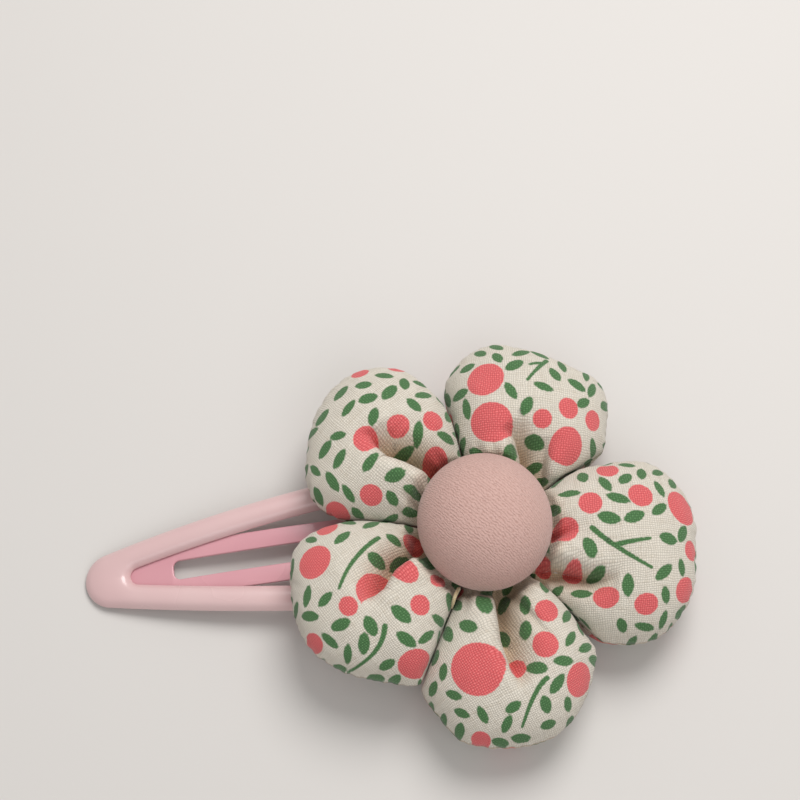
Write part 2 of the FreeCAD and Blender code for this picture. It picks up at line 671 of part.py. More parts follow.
def dome_body(doc, d, name, outer, inner, outer_cell, inner_cell):
    """A domed skin of the button between two offsets from its outside, tucked in under the rim."""
    body = doc.addObject("PartDesign::Body", name)
    sketch = body_sketch(body, name + "_profile", "XZ_Plane")
    rim_x = d["button_round"] - d["rim"]
    rim_z = d["dome_z"] + math.sqrt((d["dome"] - d["rim"]) ** 2 - rim_x**2)
    turn = math.atan2(rim_z - d["dome_z"], rim_x)
    for off in (outer, inner):
        sketch.addGeometry(arc(0, d["dome_z"], d["dome"] - off, turn, math.pi / 2), False)
        sketch.addGeometry(arc(rim_x, rim_z, d["rim"] - off, -math.pi / 2, turn), False)
    low, high = rim_z - d["rim"] + outer, rim_z - d["rim"] + inner
    top, under = d["dome_z"] + d["dome"] - outer, d["dome_z"] + d["dome"] - inner
    sketch.addGeometry(line(0, under, 0, top), False)
    sketch.addGeometry(line(rim_x, low, d["tuck"], low), False)
    sketch.addGeometry(line(d["tuck"], low, d["tuck"], high), False)
    sketch.addGeometry(line(d["tuck"], high, rim_x, high), False)
    for joined in ((0, 1, 1, 2), (2, 1, 3, 2), (1, 1, 5, 1), (3, 1, 7, 2)):
        sketch.addConstraint(Sketcher.Constraint("Tangent", *joined))
    for joined in ((0, 2, 4, 2), (2, 2, 4, 1), (5, 2, 6, 1), (6, 2, 7, 1), (0, 3, 2, 3), (1, 3, 3, 3)):
        sketch.addConstraint(Sketcher.Constraint("Coincident", *joined))
    sketch.addConstraint(Sketcher.Constraint("PointOnObject", 0, 3, -2))
    sketch.addConstraint(Sketcher.Constraint("PointOnObject", 4, 1, -2))
    sketch.addConstraint(Sketcher.Constraint("PointOnObject", 4, 2, -2))
    sketch.addConstraint(Sketcher.Constraint("Horizontal", 5))
    sketch.addConstraint(Sketcher.Constraint("Vertical", 6))
    hold(sketch, "dome_height", "DistanceY", (0, 3), d["dome_z"], "dims.dome_z")
    hold(sketch, "dome_outer", "Radius", (0,), d["dome"] - outer, f"dims.dome - {outer_cell}")
    hold(sketch, "dome_inner", "Radius", (2,), d["dome"] - inner, f"dims.dome - ({inner_cell})")
    hold(sketch, "rim_outer", "Radius", (1,), d["rim"] - outer, f"dims.rim - {outer_cell}")
    hold(sketch, "rim_across", "DistanceX", (1, 3), rim_x, "dims.button_round - dims.rim")
    hold(sketch, "tucked_to", "DistanceX", (6, 1), d["tuck"], "dims.tuck")
    turned = body.newObject("PartDesign::Revolution", name + "_turned")
    turned.Profile = sketch
    turned.ReferenceAxis = (sketch, ["V_Axis"])
    turned.Angle = 360
    place(body, "dims.flower_x", "dims.flower_y")
    NODES.append(body)


def make_button(doc, d):
    """Covered button: cloth over a domed shell, closed by a back plate that carries a wire shank."""
    cloth = d["button_cloth"]
    dome_body(doc, d, "button_cover", 0, cloth, "0", "dims.button_cloth")
    start = cloth + d["button_play"]
    start_cell = "(dims.button_cloth + dims.button_play)"
    end_cell = start_cell + " + dims.button_sheet"
    dome_body(doc, d, "button_shell", start, start + d["button_sheet"], start_cell, end_cell)
    make_back_plate(doc, d)
    make_shank(doc, d)


def make_back_plate(doc, d):
    """Flat plate inside the tucked rim, with two holes for the shank."""
    body = doc.addObject("PartDesign::Body", "button_back_plate")
    sketch = body_sketch(body, "plate_disc", "XY_Plane")
    up = FreeCAD.Vector(0, 0, 1)
    sketch.addGeometry(Part.Circle(FreeCAD.Vector(), up, d["plate_round"]), False)
    sketch.addConstraint(Sketcher.Constraint("Coincident", 0, 3, -1, 1))
    hold(sketch, "plate_round", "Radius", (0,), d["plate_round"], "dims.plate_round")
    wire = d["shank_wire"] + d["shank_hole_play"]
    for number, side in ((1, 1), (2, -1)):
        centre = FreeCAD.Vector(side * d["shank_round"], 0, 0)
        sketch.addGeometry(Part.Circle(centre, up, wire), False)
        sketch.addConstraint(Sketcher.Constraint("PointOnObject", number, 3, -1))
        hold(sketch, f"wire_{number}", "Radius", (number,), wire, "dims.shank_wire + dims.shank_hole_play")
        sign = "" if side > 0 else "-"
        hold(sketch, f"off_{number}", "DistanceX", (number, 3), side * d["shank_round"], sign + "dims.shank_round")
    pad = body.newObject("PartDesign::Pad", "plate_pad")
    pad.Profile = sketch
    pad.setExpression("Length", "dims.plate_thick")
    place(body, "dims.flower_x", "dims.flower_y", "dims.plate_z")
    NODES.append(body)


def bent_wire(doc, name, role, plane_half, turn_z, end_z, radius, cells, turns_down):
    """A round wire of two upright legs joined by a half turn, in one of the body's upright planes."""
    body = doc.addObject("PartDesign::Body", name)
    path = body_sketch(body, name + "_path", role)
    half_turn = (math.pi, 2 * math.pi) if turns_down else (0, math.pi)
    path.addGeometry(arc(0, turn_z, plane_half, *half_turn), False)
    path.addGeometry(line(-plane_half, end_z, -plane_half, turn_z), False)
    path.addGeometry(line(plane_half, turn_z, plane_half, end_z), False)
    left, right = (1, 2) if turns_down else (2, 1)
    path.addConstraint(Sketcher.Constraint("Tangent", 0, left, 1, 2))
    path.addConstraint(Sketcher.Constraint("Tangent", 0, right, 2, 1))
    path.addConstraint(Sketcher.Constraint("PointOnObject", 0, 3, -2))
    path.addConstraint(Sketcher.Constraint("Vertical", 1))
    path.addConstraint(Sketcher.Constraint("Vertical", 2))
    hold(path, "turn_round", "Radius", (0,), plane_half, cells["half"])
    hold(path, "turn_height", "DistanceY", (0, 3), turn_z, cells["turn"])
    hold(path, "left_end", "DistanceY", (1, 1), end_z, cells["end"])
    hold(path, "right_end", "DistanceY", (2, 2), end_z, cells["end"])
    ring = body_sketch(body, name + "_section", "XY_Plane")
    ring.AttachmentOffset = FreeCAD.Placement(FreeCAD.Vector(0, 0, end_z), FreeCAD.Rotation())
    ring.setExpression("AttachmentOffset.Base.z", cells["end"])
    along_x = role == "XZ_Plane"
    start = FreeCAD.Vector(-plane_half, 0, 0) if along_x else FreeCAD.Vector(0, -plane_half, 0)
    ring.addGeometry(Part.Circle(start, FreeCAD.Vector(0, 0, 1), radius), False)
    ring.addConstraint(Sketcher.Constraint("PointOnObject", 0, 3, -1 if along_x else -2))
    kind = "DistanceX" if along_x else "DistanceY"
    hold(ring, "leg_at", kind, (0, 3), -plane_half, "-" + cells["half"])
    hold(ring, "wire_round", "Radius", (0,), radius, cells["radius"])
    doc.recompute()
    pipe = body.newObject("PartDesign::AdditivePipe", name + "_pipe")
    pipe.Profile = ring
    pipe.Spine = path
    return body


def make_shank(doc, d):
    """Wire loop under the back plate."""
    cells = {
        "half": "dims.shank_round",
        "turn": "dims.shank_z",
        "end": "dims.shank_top",
        "radius": "dims.shank_wire",
    }
    body = bent_wire(
        doc, "button_shank", "XZ_Plane", d["shank_round"], d["shank_z"], d["shank_top"],
        d["shank_wire"], cells, True,
    )
    place(body, "dims.flower_x", "dims.flower_y")
    NODES.append(body)


def make_sewing_thread(doc, d):
    """Thread that ties the shank down through the felt, with its stitch and knot underneath."""
    cells = {
        "half": "dims.sewing_half",
        "turn": "dims.sewing_top",
        "end": "dims.sewing_low",
        "radius": "dims.sewing_round",
    }
    strands = bent_wire(
        doc, "sewing_strands", "YZ_Plane", d["sewing_half"], d["sewing_top"], d["sewing_low"],
        d["sewing_round"], cells, False,
    )
    stitch = doc.addObject("Part::Cylinder", "stitch")
    stitch.Placement = FreeCAD.Placement(
        FreeCAD.Vector(), FreeCAD.Rotation(FreeCAD.Vector(1, 0, 0), -90)
    )
    bind(stitch, Radius="dims.stitch_round", Height="2 * dims.stitch_half")
    place(stitch, "0", "-dims.stitch_half", "dims.sewing_low")
    knot = doc.addObject("Part::Ellipsoid", "knot")
    bind(knot, Radius1="dims.sewing_knot_high", Radius2="dims.sewing_knot", Radius3="dims.sewing_knot")
    place(knot, "0", "0", "dims.sewing_low")
    made = fuse(doc, "button_thread", [strands, stitch, knot])
    place(made, "dims.flower_x", "dims.flower_y")
    NODES.append(made)


def check(doc):
    """Stops at any failed object or bad sub-part."""
    for thing in doc.Objects:
        if {"Invalid", "Error"} & set(thing.State):
            raise RuntimeError(f"{thing.Name} failed: {thing.State}")
    for node in NODES:
        shape = node.Shape
        if shape.isNull() or not shape.isValid() or not shape.Solids:
            raise RuntimeError(f"{node.Label} has no valid solid")


def export():
    """Writes each sub-part to its own STEP file."""
    os.makedirs("parts", exist_ok=True)
    for old in os.listdir("parts"):
        os.remove(os.path.join("parts", old))
    whole = FreeCAD.BoundBox()
    for node in NODES:
        node.Shape.exportStep(f"parts/{node.Label}.step")
        whole.add(node.Shape.BoundBox)
        print(f"{node.Label}: {len(node.Shape.Solids)} solid, {node.Shape.Volume:.1f} mm3")
    print("whole:", whole)


def main():
    doc = FreeCAD.newDocument("flower_hair_clip")
    d = add_sheet(doc)
    make_frame(doc, d)
    make_tongue(doc, d)
    make_tongue_root(doc)
    make_rivet(doc, d)
    make_felt(doc, d)
    make_glue(doc)
    make_petals(doc)
    make_gathering_thread(doc)
    make_button(doc, d)
    make_sewing_thread(doc, d)
    doc.recompute()
    check(doc)
    export()


main()
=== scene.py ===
import math
import random

import bpy
import numpy as np
from mathutils import Matrix, Vector, kdtree, noise


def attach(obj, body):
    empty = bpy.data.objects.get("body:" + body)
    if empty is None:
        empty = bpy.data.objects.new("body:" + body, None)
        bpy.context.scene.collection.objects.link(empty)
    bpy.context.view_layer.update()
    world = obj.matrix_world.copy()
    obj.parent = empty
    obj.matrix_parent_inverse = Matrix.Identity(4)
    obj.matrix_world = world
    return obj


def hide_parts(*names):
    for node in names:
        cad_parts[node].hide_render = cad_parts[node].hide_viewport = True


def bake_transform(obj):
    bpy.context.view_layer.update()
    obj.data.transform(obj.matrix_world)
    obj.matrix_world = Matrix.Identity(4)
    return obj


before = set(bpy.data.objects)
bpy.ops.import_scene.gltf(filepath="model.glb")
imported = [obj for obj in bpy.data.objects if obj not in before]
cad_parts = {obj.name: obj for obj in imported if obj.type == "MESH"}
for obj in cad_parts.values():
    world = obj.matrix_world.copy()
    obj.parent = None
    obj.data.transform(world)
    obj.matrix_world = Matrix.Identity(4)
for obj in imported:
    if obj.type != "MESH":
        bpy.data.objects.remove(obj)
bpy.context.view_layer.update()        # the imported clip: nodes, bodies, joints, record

mm = 0.001  # the hair clip is small, so lengths in this file are millimetres and are scaled here
clothSpan = 64.0  # millimetres of cloth across one whole cloth map


# camera, floor and light come first
cameraSet = {"aim": (5.1, 23.0, 5.0), "azimuth": -8.0, "elevation": 68.6, "distance": 292.5, "lens": 92.9,
             "sensor": 36.0}
lightSet = {
    "key": {"at": (135, 235, 415), "size": 310, "watts": 1.74, "colour": (1.0, 0.985, 0.97)},
    "fill": {"at": (70, -290, 330), "size": 380, "watts": 0.4, "colour": (0.98, 0.985, 1.0)},
    "worldColour": (0.93, 0.92, 0.905), "worldStrength": 0.49,
}


def clearSelection():
    if bpy.context.object and bpy.context.object.mode != "OBJECT":
        bpy.ops.object.mode_set(mode="OBJECT")
    bpy.ops.object.select_all(action="DESELECT")


def pick(piece):
    clearSelection()
    piece.select_set(True)
    bpy.context.view_layer.objects.active = piece
    return piece


def smooth(piece):
    pick(piece)
    bpy.ops.object.shade_smooth()


# edit mode with all of the piece selected
def openMesh(piece):
    pick(piece)
    bpy.ops.object.mode_set(mode="EDIT")
    bpy.ops.mesh.select_all(action="SELECT")


def closeMesh():
    bpy.ops.object.mode_set(mode="OBJECT")


def addCamera():
    azimuth, elevation = math.radians(cameraSet["azimuth"]), math.radians(cameraSet["elevation"])
    level = math.cos(elevation)
    back = Vector((math.sin(azimuth) * level, -math.cos(azimuth) * level, math.sin(elevation)))
    place = (Vector(cameraSet["aim"]) + back * cameraSet["distance"]) * mm
    bpy.ops.object.camera_add(location=place, rotation=(math.pi / 2 - elevation, 0, azimuth))
    camera = bpy.context.object
    camera.name = "viewCamera"
    camera.data.lens = cameraSet["lens"]
    camera.data.sensor_width = cameraSet["sensor"]
    camera.data.clip_start, camera.data.clip_end = 0.005, 20
    bpy.context.scene.camera = camera


def addLights():
    for name in ("key", "fill"):
        values = lightSet[name]
        bpy.ops.object.light_add(type="AREA", location=Vector(values["at"]) * mm)
        lamp = bpy.context.object
        lamp.name = name + "Light"
        lamp.data.shape = "DISK"
        lamp.data.size = values["size"] * mm
        lamp.data.energy = values["watts"]
        lamp.data.color = values["colour"]
        lamp.rotation_euler = (-Vector(values["at"])).to_track_quat("-Z", "Y").to_euler()
    world = bpy.data.worlds.new("paleRoom")
    bpy.context.scene.world = world
    world.use_nodes = True
    backdrop = world.node_tree.nodes["Background"]
    backdrop.inputs["Color"].default_value = (*lightSet["worldColour"], 1)
    backdrop.inputs["Strength"].default_value = lightSet["worldStrength"]
    bpy.context.scene.view_settings.view_transform = "Standard"


addCamera()
addLights()
print("camera and lights ready")


# shader helpers: a socket takes a link or a plain value
def feed(tree, socket, value):
    if isinstance(value, bpy.types.NodeSocket):
        tree.links.new(value, socket)
    elif value is not None:
        socket.default_value = value


def node(tree, kind, inputs=None, **settings):
    made = tree.nodes.new(kind)
    for name, value in settings.items():
        setattr(made, name, value)
    for name, value in (inputs or {}).items():
        feed(tree, made.inputs[name], value)
    return made


def sums(tree, operation, first, second=None, third=None):
    return node(tree, "ShaderNodeMath", {0: first, 1: second, 2: third}, operation=operation).outputs[0]


def times(tree, first, second):
    return sums(tree, "MULTIPLY", first, second)


def vectors(tree, operation, first, second):
    other = "Scale" if operation == "SCALE" else 1
    return node(tree, "ShaderNodeVectorMath", {0: first, other: second}, operation=operation).outputs[0]


def noisy(tree, place, scale, detail, **more):
    return node(tree, "ShaderNodeTexNoise", {"Vector": place, "Scale": scale, "Detail": detail, **more}).outputs


def blendColours(tree, amount, first, second):
    made = node(tree, "ShaderNodeMix", data_type="RGBA")
    for index, value in ((0, amount), (6, first), (7, second)):
        feed(tree, made.inputs[index], (*value, 1) if isinstance(value, tuple) else value)
    return made.outputs[2]


def softStep(tree, value, low, high):
    limits = {"Value": value, "From Min": low, "From Max": high}
    return node(tree, "ShaderNodeMapRange", limits, interpolation_type="SMOOTHSTEP").outputs["Result"]


def newGroup(name, inputs, outputs):
    group = bpy.data.node_groups.new(name, "ShaderNodeTree")
    for socketName, kind, value in inputs:
        socket = group.interface.new_socket(socketName, in_out="INPUT", socket_type=kind)
        if value is not None:
            socket.default_value = value
    for socketName, kind in outputs:
        group.interface.new_socket(socketName, in_out="OUTPUT", socket_type=kind)
    return group, group.nodes.new("NodeGroupInput").outputs, group.nodes.new("NodeGroupOutput").inputs


def placeGroup(tree, group, inputs):
    return node(tree, "ShaderNodeGroup", inputs, node_tree=group).outputs


def objectPlace(tree):
    return node(tree, "ShaderNodeTexCoord").outputs["Object"]


def clothPlace(tree):
    return vectors(tree, "SCALE", node(tree, "ShaderNodeUVMap", uv_map="cloth").outputs[0], clothSpan)


def fieldOf(tree, name):
    return node(tree, "ShaderNodeAttribute", attribute_name=name).outputs["Fac"]


# plain weave on a flat cloth place in millimetres: thread height, gaps between threads, uneven threads
def weaveGroup():
    group, given, made = newGroup(
        "plainWeave",
        [("Cloth", "NodeSocketVector", None), ("Threads", "NodeSocketFloat", 3.0),
         ("Wander", "NodeSocketFloat", 1.0)],
        [("Height", "NodeSocketFloat"), ("Gap", "NodeSocketFloat"), ("Slub", "NodeSocketFloat")],
    )
    wobble = noisy(group, given["Cloth"], 0.45, 2.0)["Color"]
    scaled = vectors(group, "SCALE", given["Cloth"], given["Threads"])
    centred = vectors(group, "SUBTRACT", wobble, (0.5, 0.5, 0.5))
    drift = vectors(group, "SCALE", centred, times(group, given["Wander"], 3.0))
    moved = vectors(group, "ADD", scaled, drift)
    parts = node(group, "ShaderNodeSeparateXYZ", {0: moved}).outputs
    ridges = [sums(group, "SINE", times(group, sums(group, "FRACT", parts[axis]), math.pi)) for axis in "XY"]
    cells = [sums(group, "FLOOR", parts[axis]) for axis in "XY"]
    over = sums(group, "PINGPONG", sums(group, "ADD", cells[0], cells[1]), 1.0)
    warp = times(group, ridges[0], sums(group, "POWER", ridges[1], 0.45))
    weft = times(group, ridges[1], sums(group, "POWER", ridges[0], 0.45))
    lower = times(group, sums(group, "SUBTRACT", 1.0, over), times(group, warp, 0.72))
    height = sums(group, "MULTIPLY_ADD", over, weft, lower)
    gap = sums(group, "POWER", sums(group, "SUBTRACT", 1.0, height), 2.0)
    streaks = []
    for stretch in ((1.0, 0.06, 1.0), (0.06, 1.0, 1.0)):
        streaks.append(noisy(group, vectors(group, "MULTIPLY", moved, stretch), 1.0, 1.0)["Fac"])
    slub = times(group, sums(group, "ADD", streaks[0], streaks[1]), 0.5)
    for name, value in (("Height", height), ("Gap", gap), ("Slub", slub)):
        group.links.new(value, made[name])
    return group


# fine slanting ribs broken up by the twist of crepe yarn, on a cloth place in millimetres; the second output is
# painted light and shade, lighter on the ridges and darker in the grooves
def crepeGroup():
    group, given, made = newGroup(
        "crepeRibs",
        [("Cloth", "NodeSocketVector", None), ("Ribs", "NodeSocketFloat", 2.2)],
        [("Height", "NodeSocketFloat"), ("PaintedRibLight", "NodeSocketFloat")],
    )
    slant = (0, 0, math.radians(-50))
    turned = node(group, "ShaderNodeMapping", {"Vector": given["Cloth"], "Rotation": slant}).outputs[0]
    wander = noisy(group, turned, 1.5, 2.0)["Fac"]
    along = times(group, node(group, "ShaderNodeSeparateXYZ", {0: turned}).outputs["X"], given["Ribs"])
    along = sums(group, "MULTIPLY_ADD", wander, 1.9, along)
    rib = sums(group, "SINE", times(group, sums(group, "FRACT", along), math.pi))
    crumbs = noisy(group, vectors(group, "MULTIPLY", turned, (5.2, 2.4, 1.0)), 1.0, 2.0, Roughness=0.6)["Fac"]
    height = sums(group, "MULTIPLY_ADD", crumbs, 2.4, times(group, rib, 0.85))
    group.links.new(height, made["Height"])
    group.links.new(softStep(group, height, 0.95, 2.25), made["PaintedRibLight"])
    return group


# slow uneven patches and a fine ripple, for gloss that isn't perfectly even
def driftGroup():
    group, given, made = newGroup(
        "unevenSkin",
        [("Place", "NodeSocketVector", None), ("Patch", "NodeSocketFloat", 90.0),
         ("Grain", "NodeSocketFloat", 1400.0)],
        [("Patches", "NodeSocketFloat"), ("Ripple", "NodeSocketFloat")],
    )
    for name, scale, detail in (("Patches", "Patch", 3.0), ("Ripple", "Grain", 2.0)):
        group.links.new(noisy(group, given["Place"], given[scale], detail)["Fac"], made[name])
    return group


plainWeave, crepeRibs, unevenSkin = weaveGroup(), crepeGroup(), driftGroup()


def newMaterial(name, **sockets):
    material = bpy.data.materials.new(name)
    material.use_nodes = True
    tree = material.node_tree
    shader = tree.nodes["Principled BSDF"]
    for socketName, value in sockets.items():
        shader.inputs[socketName.replace("_", " ")].default_value = value
    return material, tree, shader


def addRelief(tree, shader, height, distance, strength=1.0):
    bump = node(tree, "ShaderNodeBump", {"Height": height, "Distance": distance * mm, "Strength": strength})
    tree.links.new(bump.outputs[0], shader.inputs["Normal"])


def asColour(tree, shader, colour):
    tree.links.new(colour, shader.inputs["Base Color"])


# the valley colour is the warm tint of painted shade laid into folds, along the seam crease and on the cloth
# round the button
petalLook = {
    "cream": (0.765, 0.712, 0.62), "shade": (0.665, 0.60, 0.50), "valley": (0.80, 0.64, 0.50),
    "coral": (0.79, 0.135, 0.145), "coralLight": (0.85, 0.225, 0.225),
    "green": (0.045, 0.165, 0.045), "greenLight": (0.13, 0.32, 0.11),
    # gap: how strongly painted shade darkens the gaps between threads
    "threads": 3.0, "rise": 0.075, "ink": 0.95, "fray": 0.26, "gap": 0.7,
}


def petalMaterial():
    look = petalLook
    material, tree, shader = newMaterial(
        "printedCotton", Roughness=0.86, Sheen_Weight=0.2, Sheen_Roughness=0.5, Specular_IOR_Level=0.22)
    spread = clothPlace(tree)
    weave = placeGroup(tree, plainWeave, {"Cloth": spread, "Threads": look["threads"], "Wander": 0.8})
    fray = noisy(tree, spread, 3.2, 2.0)["Fac"]
    rough = sums(tree, "MULTIPLY_ADD", fray, look["fray"], -look["fray"] / 2)
    masks = []
    for name in ("berry", "leaf"):
        field = sums(tree, "ADD", fieldOf(tree, name), rough)
        field = sums(tree, "MULTIPLY_ADD", weave["Height"], 0.1, field)
        masks.append(times(tree, softStep(tree, field, -0.02, 0.16), look["ink"]))
    patch = noisy(tree, spread, 0.35, 3.0)["Fac"]
    # the berry and leaf print is lighter on the raised thread tops, in slow patches
    tops = softStep(tree, weave["Height"], 0.62, 1.0)
    ground = blendColours(tree, softStep(tree, weave["Slub"], 0.4, 0.8), look["cream"], look["shade"])
    leaf = blendColours(tree, times(tree, tops, patch), look["green"], look["greenLight"])
    lighterOnTops = times(tree, tops, sums(tree, "MULTIPLY_ADD", patch, 1.0, 0.1))
    berry = blendColours(tree, lighterOnTops, look["coral"], look["coralLight"])
    inked = blendColours(tree, masks[0], blendColours(tree, masks[1], ground, leaf), berry)
    # painted shade between the threads: the colour in the gaps is darkened and made deeper
    gapShadeColour = node(tree, "ShaderNodeHueSaturation", {"Color": inked, "Value": 0.52, "Saturation": 1.18}).outputs[0]
    woven = blendColours(tree, times(tree, weave["Gap"], look["gap"]), inked, gapShadeColour)
    # painted shade: folds, the seam crease along the rim and the cloth next to the button are darkened with a
    # warm tint; the seam field also grooves the relief
    seam = fieldOf(tree, "seam")
    paintedShade = sums(tree, "MAXIMUM", fieldOf(tree, "fold"), softStep(tree, seam, 0.1, 1.2))
    paintedValleyShade = blendColours(tree, paintedShade, (1, 1, 1), look["valley"])
    asColour(tree, shader, vectors(tree, "MULTIPLY", woven, paintedValleyShade))
    lift = sums(tree, "MULTIPLY_ADD", weave["Slub"], 0.6, weave["Height"])
    addRelief(tree, shader, sums(tree, "MULTIPLY_ADD", seam, -5.0, lift), look["rise"])
    return material


# the deeper pink is the same cloth in painted shade, for the grooves between the ribs
buttonLook = {"pink": (0.615, 0.405, 0.36), "pinkShaded": (0.485, 0.293, 0.252), "ribs": 2.45, "rise": 0.055}


def buttonMaterial():
    look = buttonLook
    material, tree, shader = newMaterial(
        "dustyCrepe", Roughness=0.8, Sheen_Weight=0.3, Sheen_Roughness=0.4, Specular_IOR_Level=0.3)
    crepe = placeGroup(tree, crepeRibs, {"Cloth": clothPlace(tree), "Ribs": look["ribs"]})
    # painted light and shade: the crepe's ridges take the lighter pink, its grooves the shaded pink
    asColour(tree, shader, blendColours(tree, crepe["PaintedRibLight"], look["pinkShaded"], look["pink"]))
    addRelief(tree, shader, crepe["Height"], look["rise"])
    return material


def skinOf(tree, patch, grain):
    return placeGroup(tree, unevenSkin, {"Place": objectPlace(tree), "Patch": patch, "Grain": grain})


def enamelMaterial(name, colour, deep):
    material, tree, shader = newMaterial(
        name, Roughness=0.3, Coat_Weight=0.6, Coat_Roughness=0.2, Specular_IOR_Level=0.5)
    skin = skinOf(tree, 60.0, 900.0)
    asColour(tree, shader, blendColours(tree, softStep(tree, skin["Patches"], 0.35, 0.7), colour, deep))
    feed(tree, shader.inputs["Roughness"], sums(tree, "MULTIPLY_ADD", skin["Patches"], 0.16, 0.2))
    addRelief(tree, shader, skin["Ripple"], 0.004, 0.5)
    return material


def steelMaterial(name, colour, roughness):
    material, tree, shader = newMaterial(name, Metallic=1.0)
    skin = skinOf(tree, 300.0, 2600.0)
    deep = tuple(value * 0.7 for value in colour)
    asColour(tree, shader, blendColours(tree, skin["Patches"], colour, deep))
    feed(tree, shader.inputs["Roughness"], sums(tree, "MULTIPLY_ADD", skin["Ripple"], 0.25, roughness))
    addRelief(tree, shader, skin["Ripple"], 0.01)
    return material


# matted or loose fibres: felt, stuffing and thread
def fibreMaterial(name, light, deep, scale, rise):
    material, tree, shader = newMaterial(
        name, Roughness=0.95, Sheen_Weight=0.4, Sheen_Roughness=0.6, Specular_IOR_Level=0.15)
    place = objectPlace(tree)
    lines = []
    for turn in (0.0, 1.1, 2.2):
        laid = {"Vector": place, "Rotation": (turn, turn * 0.7, turn), "Scale": (scale, scale * 0.12, scale)}
        turned = node(tree, "ShaderNodeMapping", laid).outputs[0]
        lines.append(noisy(tree, turned, 1.0, 2.0, Distortion=1.2)["Fac"])
    mat = sums(tree, "MAXIMUM", sums(tree, "MAXIMUM", lines[0], lines[1]), lines[2])
    asColour(tree, shader, blendColours(tree, softStep(tree, mat, 0.42, 0.75), deep, light))
    addRelief(tree, shader, mat, rise)
    return material


# two close tones in slow patches with a slight ripple: set glue and the table top
def patchyMaterial(name, patch, grain, colour, deep, rise, **sockets):
    material, tree, shader = newMaterial(name, **sockets)
    skin = skinOf(tree, patch, grain)
    asColour(tree, shader, blendColours(tree, skin["Patches"], colour, deep))
    addRelief(tree, shader, skin["Ripple"], rise)
    return material


finish = {
    "petal_cloth": petalMaterial(),
    "button_cloth": buttonMaterial(),
    "clip_enamel": enamelMaterial("palePinkEnamel", (0.71, 0.50, 0.495), (0.675, 0.455, 0.455)),
    # the tongue's enamel is the frame's pink painted darker and more saturated, as painted shade
    "tongue_enamel": enamelMaterial("shadedRosePinkEnamel", (0.67, 0.335, 0.375), (0.62, 0.285, 0.33)),
    "rivet_steel": steelMaterial("plainSteel", (0.72, 0.70, 0.68), 0.28),
    "button_metal": steelMaterial("pressedMetal", (0.82, 0.82, 0.82), 0.34),
    "felt": fibreMaterial("pinkFelt", (0.78, 0.62, 0.60), (0.60, 0.43, 0.42), 2600.0, 0.12),
    "stuffing": fibreMaterial("looseFibre", (0.92, 0.91, 0.89), (0.72, 0.71, 0.69), 1500.0, 0.3),
    "thread": fibreMaterial("strawThread", (0.83, 0.69, 0.45), (0.60, 0.46, 0.26), 3500.0, 0.05),
    "glue": patchyMaterial("setGlue", 500.0, 1500.0, (0.86, 0.83, 0.74), (0.70, 0.66, 0.56), 0.03, Roughness=0.35,
                           Subsurface_Weight=0.3, Subsurface_Radius=(0.001, 0.0009, 0.0007),
                           Specular_IOR_Level=0.5),
}
print("materials ready")


def wear(piece, slot, body):
    piece.data.materials.clear()
    piece.data.materials.append(finish[slot])
    if body:
        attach(piece, body)


def addFloor():
    clearSelection()
    bpy.ops.mesh.primitive_plane_add(size=4, location=(0, 0, 0))
    floor = bpy.context.object
    floor.name = "table"
    floor.data.materials.append(patchyMaterial(
        "paleTable", 6.0, 400.0, (0.662, 0.638, 0.614), (0.638, 0.615, 0.592), 0.01,
        Roughness=0.55, Specular_IOR_Level=0.3))


addFloor()


# petals
viewTurn = math.radians(-8.0)  # outlines, folds and print below are laid out square to this direction
flower = {"centre": (13.5, 0.9), "reach": 16.6, "feltRound": 13.3, "feltTop": 6.12, "gatherZ": 8.2,
          "underButton": 10.7, "buttonEdge": 8.9, "rise": 3.6,
          "shoulder": 6.5, "gathered": (8.5, 15.0), "feltEase": 2.6}
onClip = {"middle": 8.0, "high": 6.3, "base": 4.7}
onTable = {"middle": 6.4, "high": 6.5, "base": 0.0}


# a fold's line runs from the button outwards; steep and gentle are the widths of its two sides,
# roll is the side that leans over it, and end says how late it fades
def makeFold(line, depth, steep, gentle, roll, end=2.4):
    return {"line": line, "depth": depth, "steep": steep, "gentle": gentle, "roll": roll, "end": end}


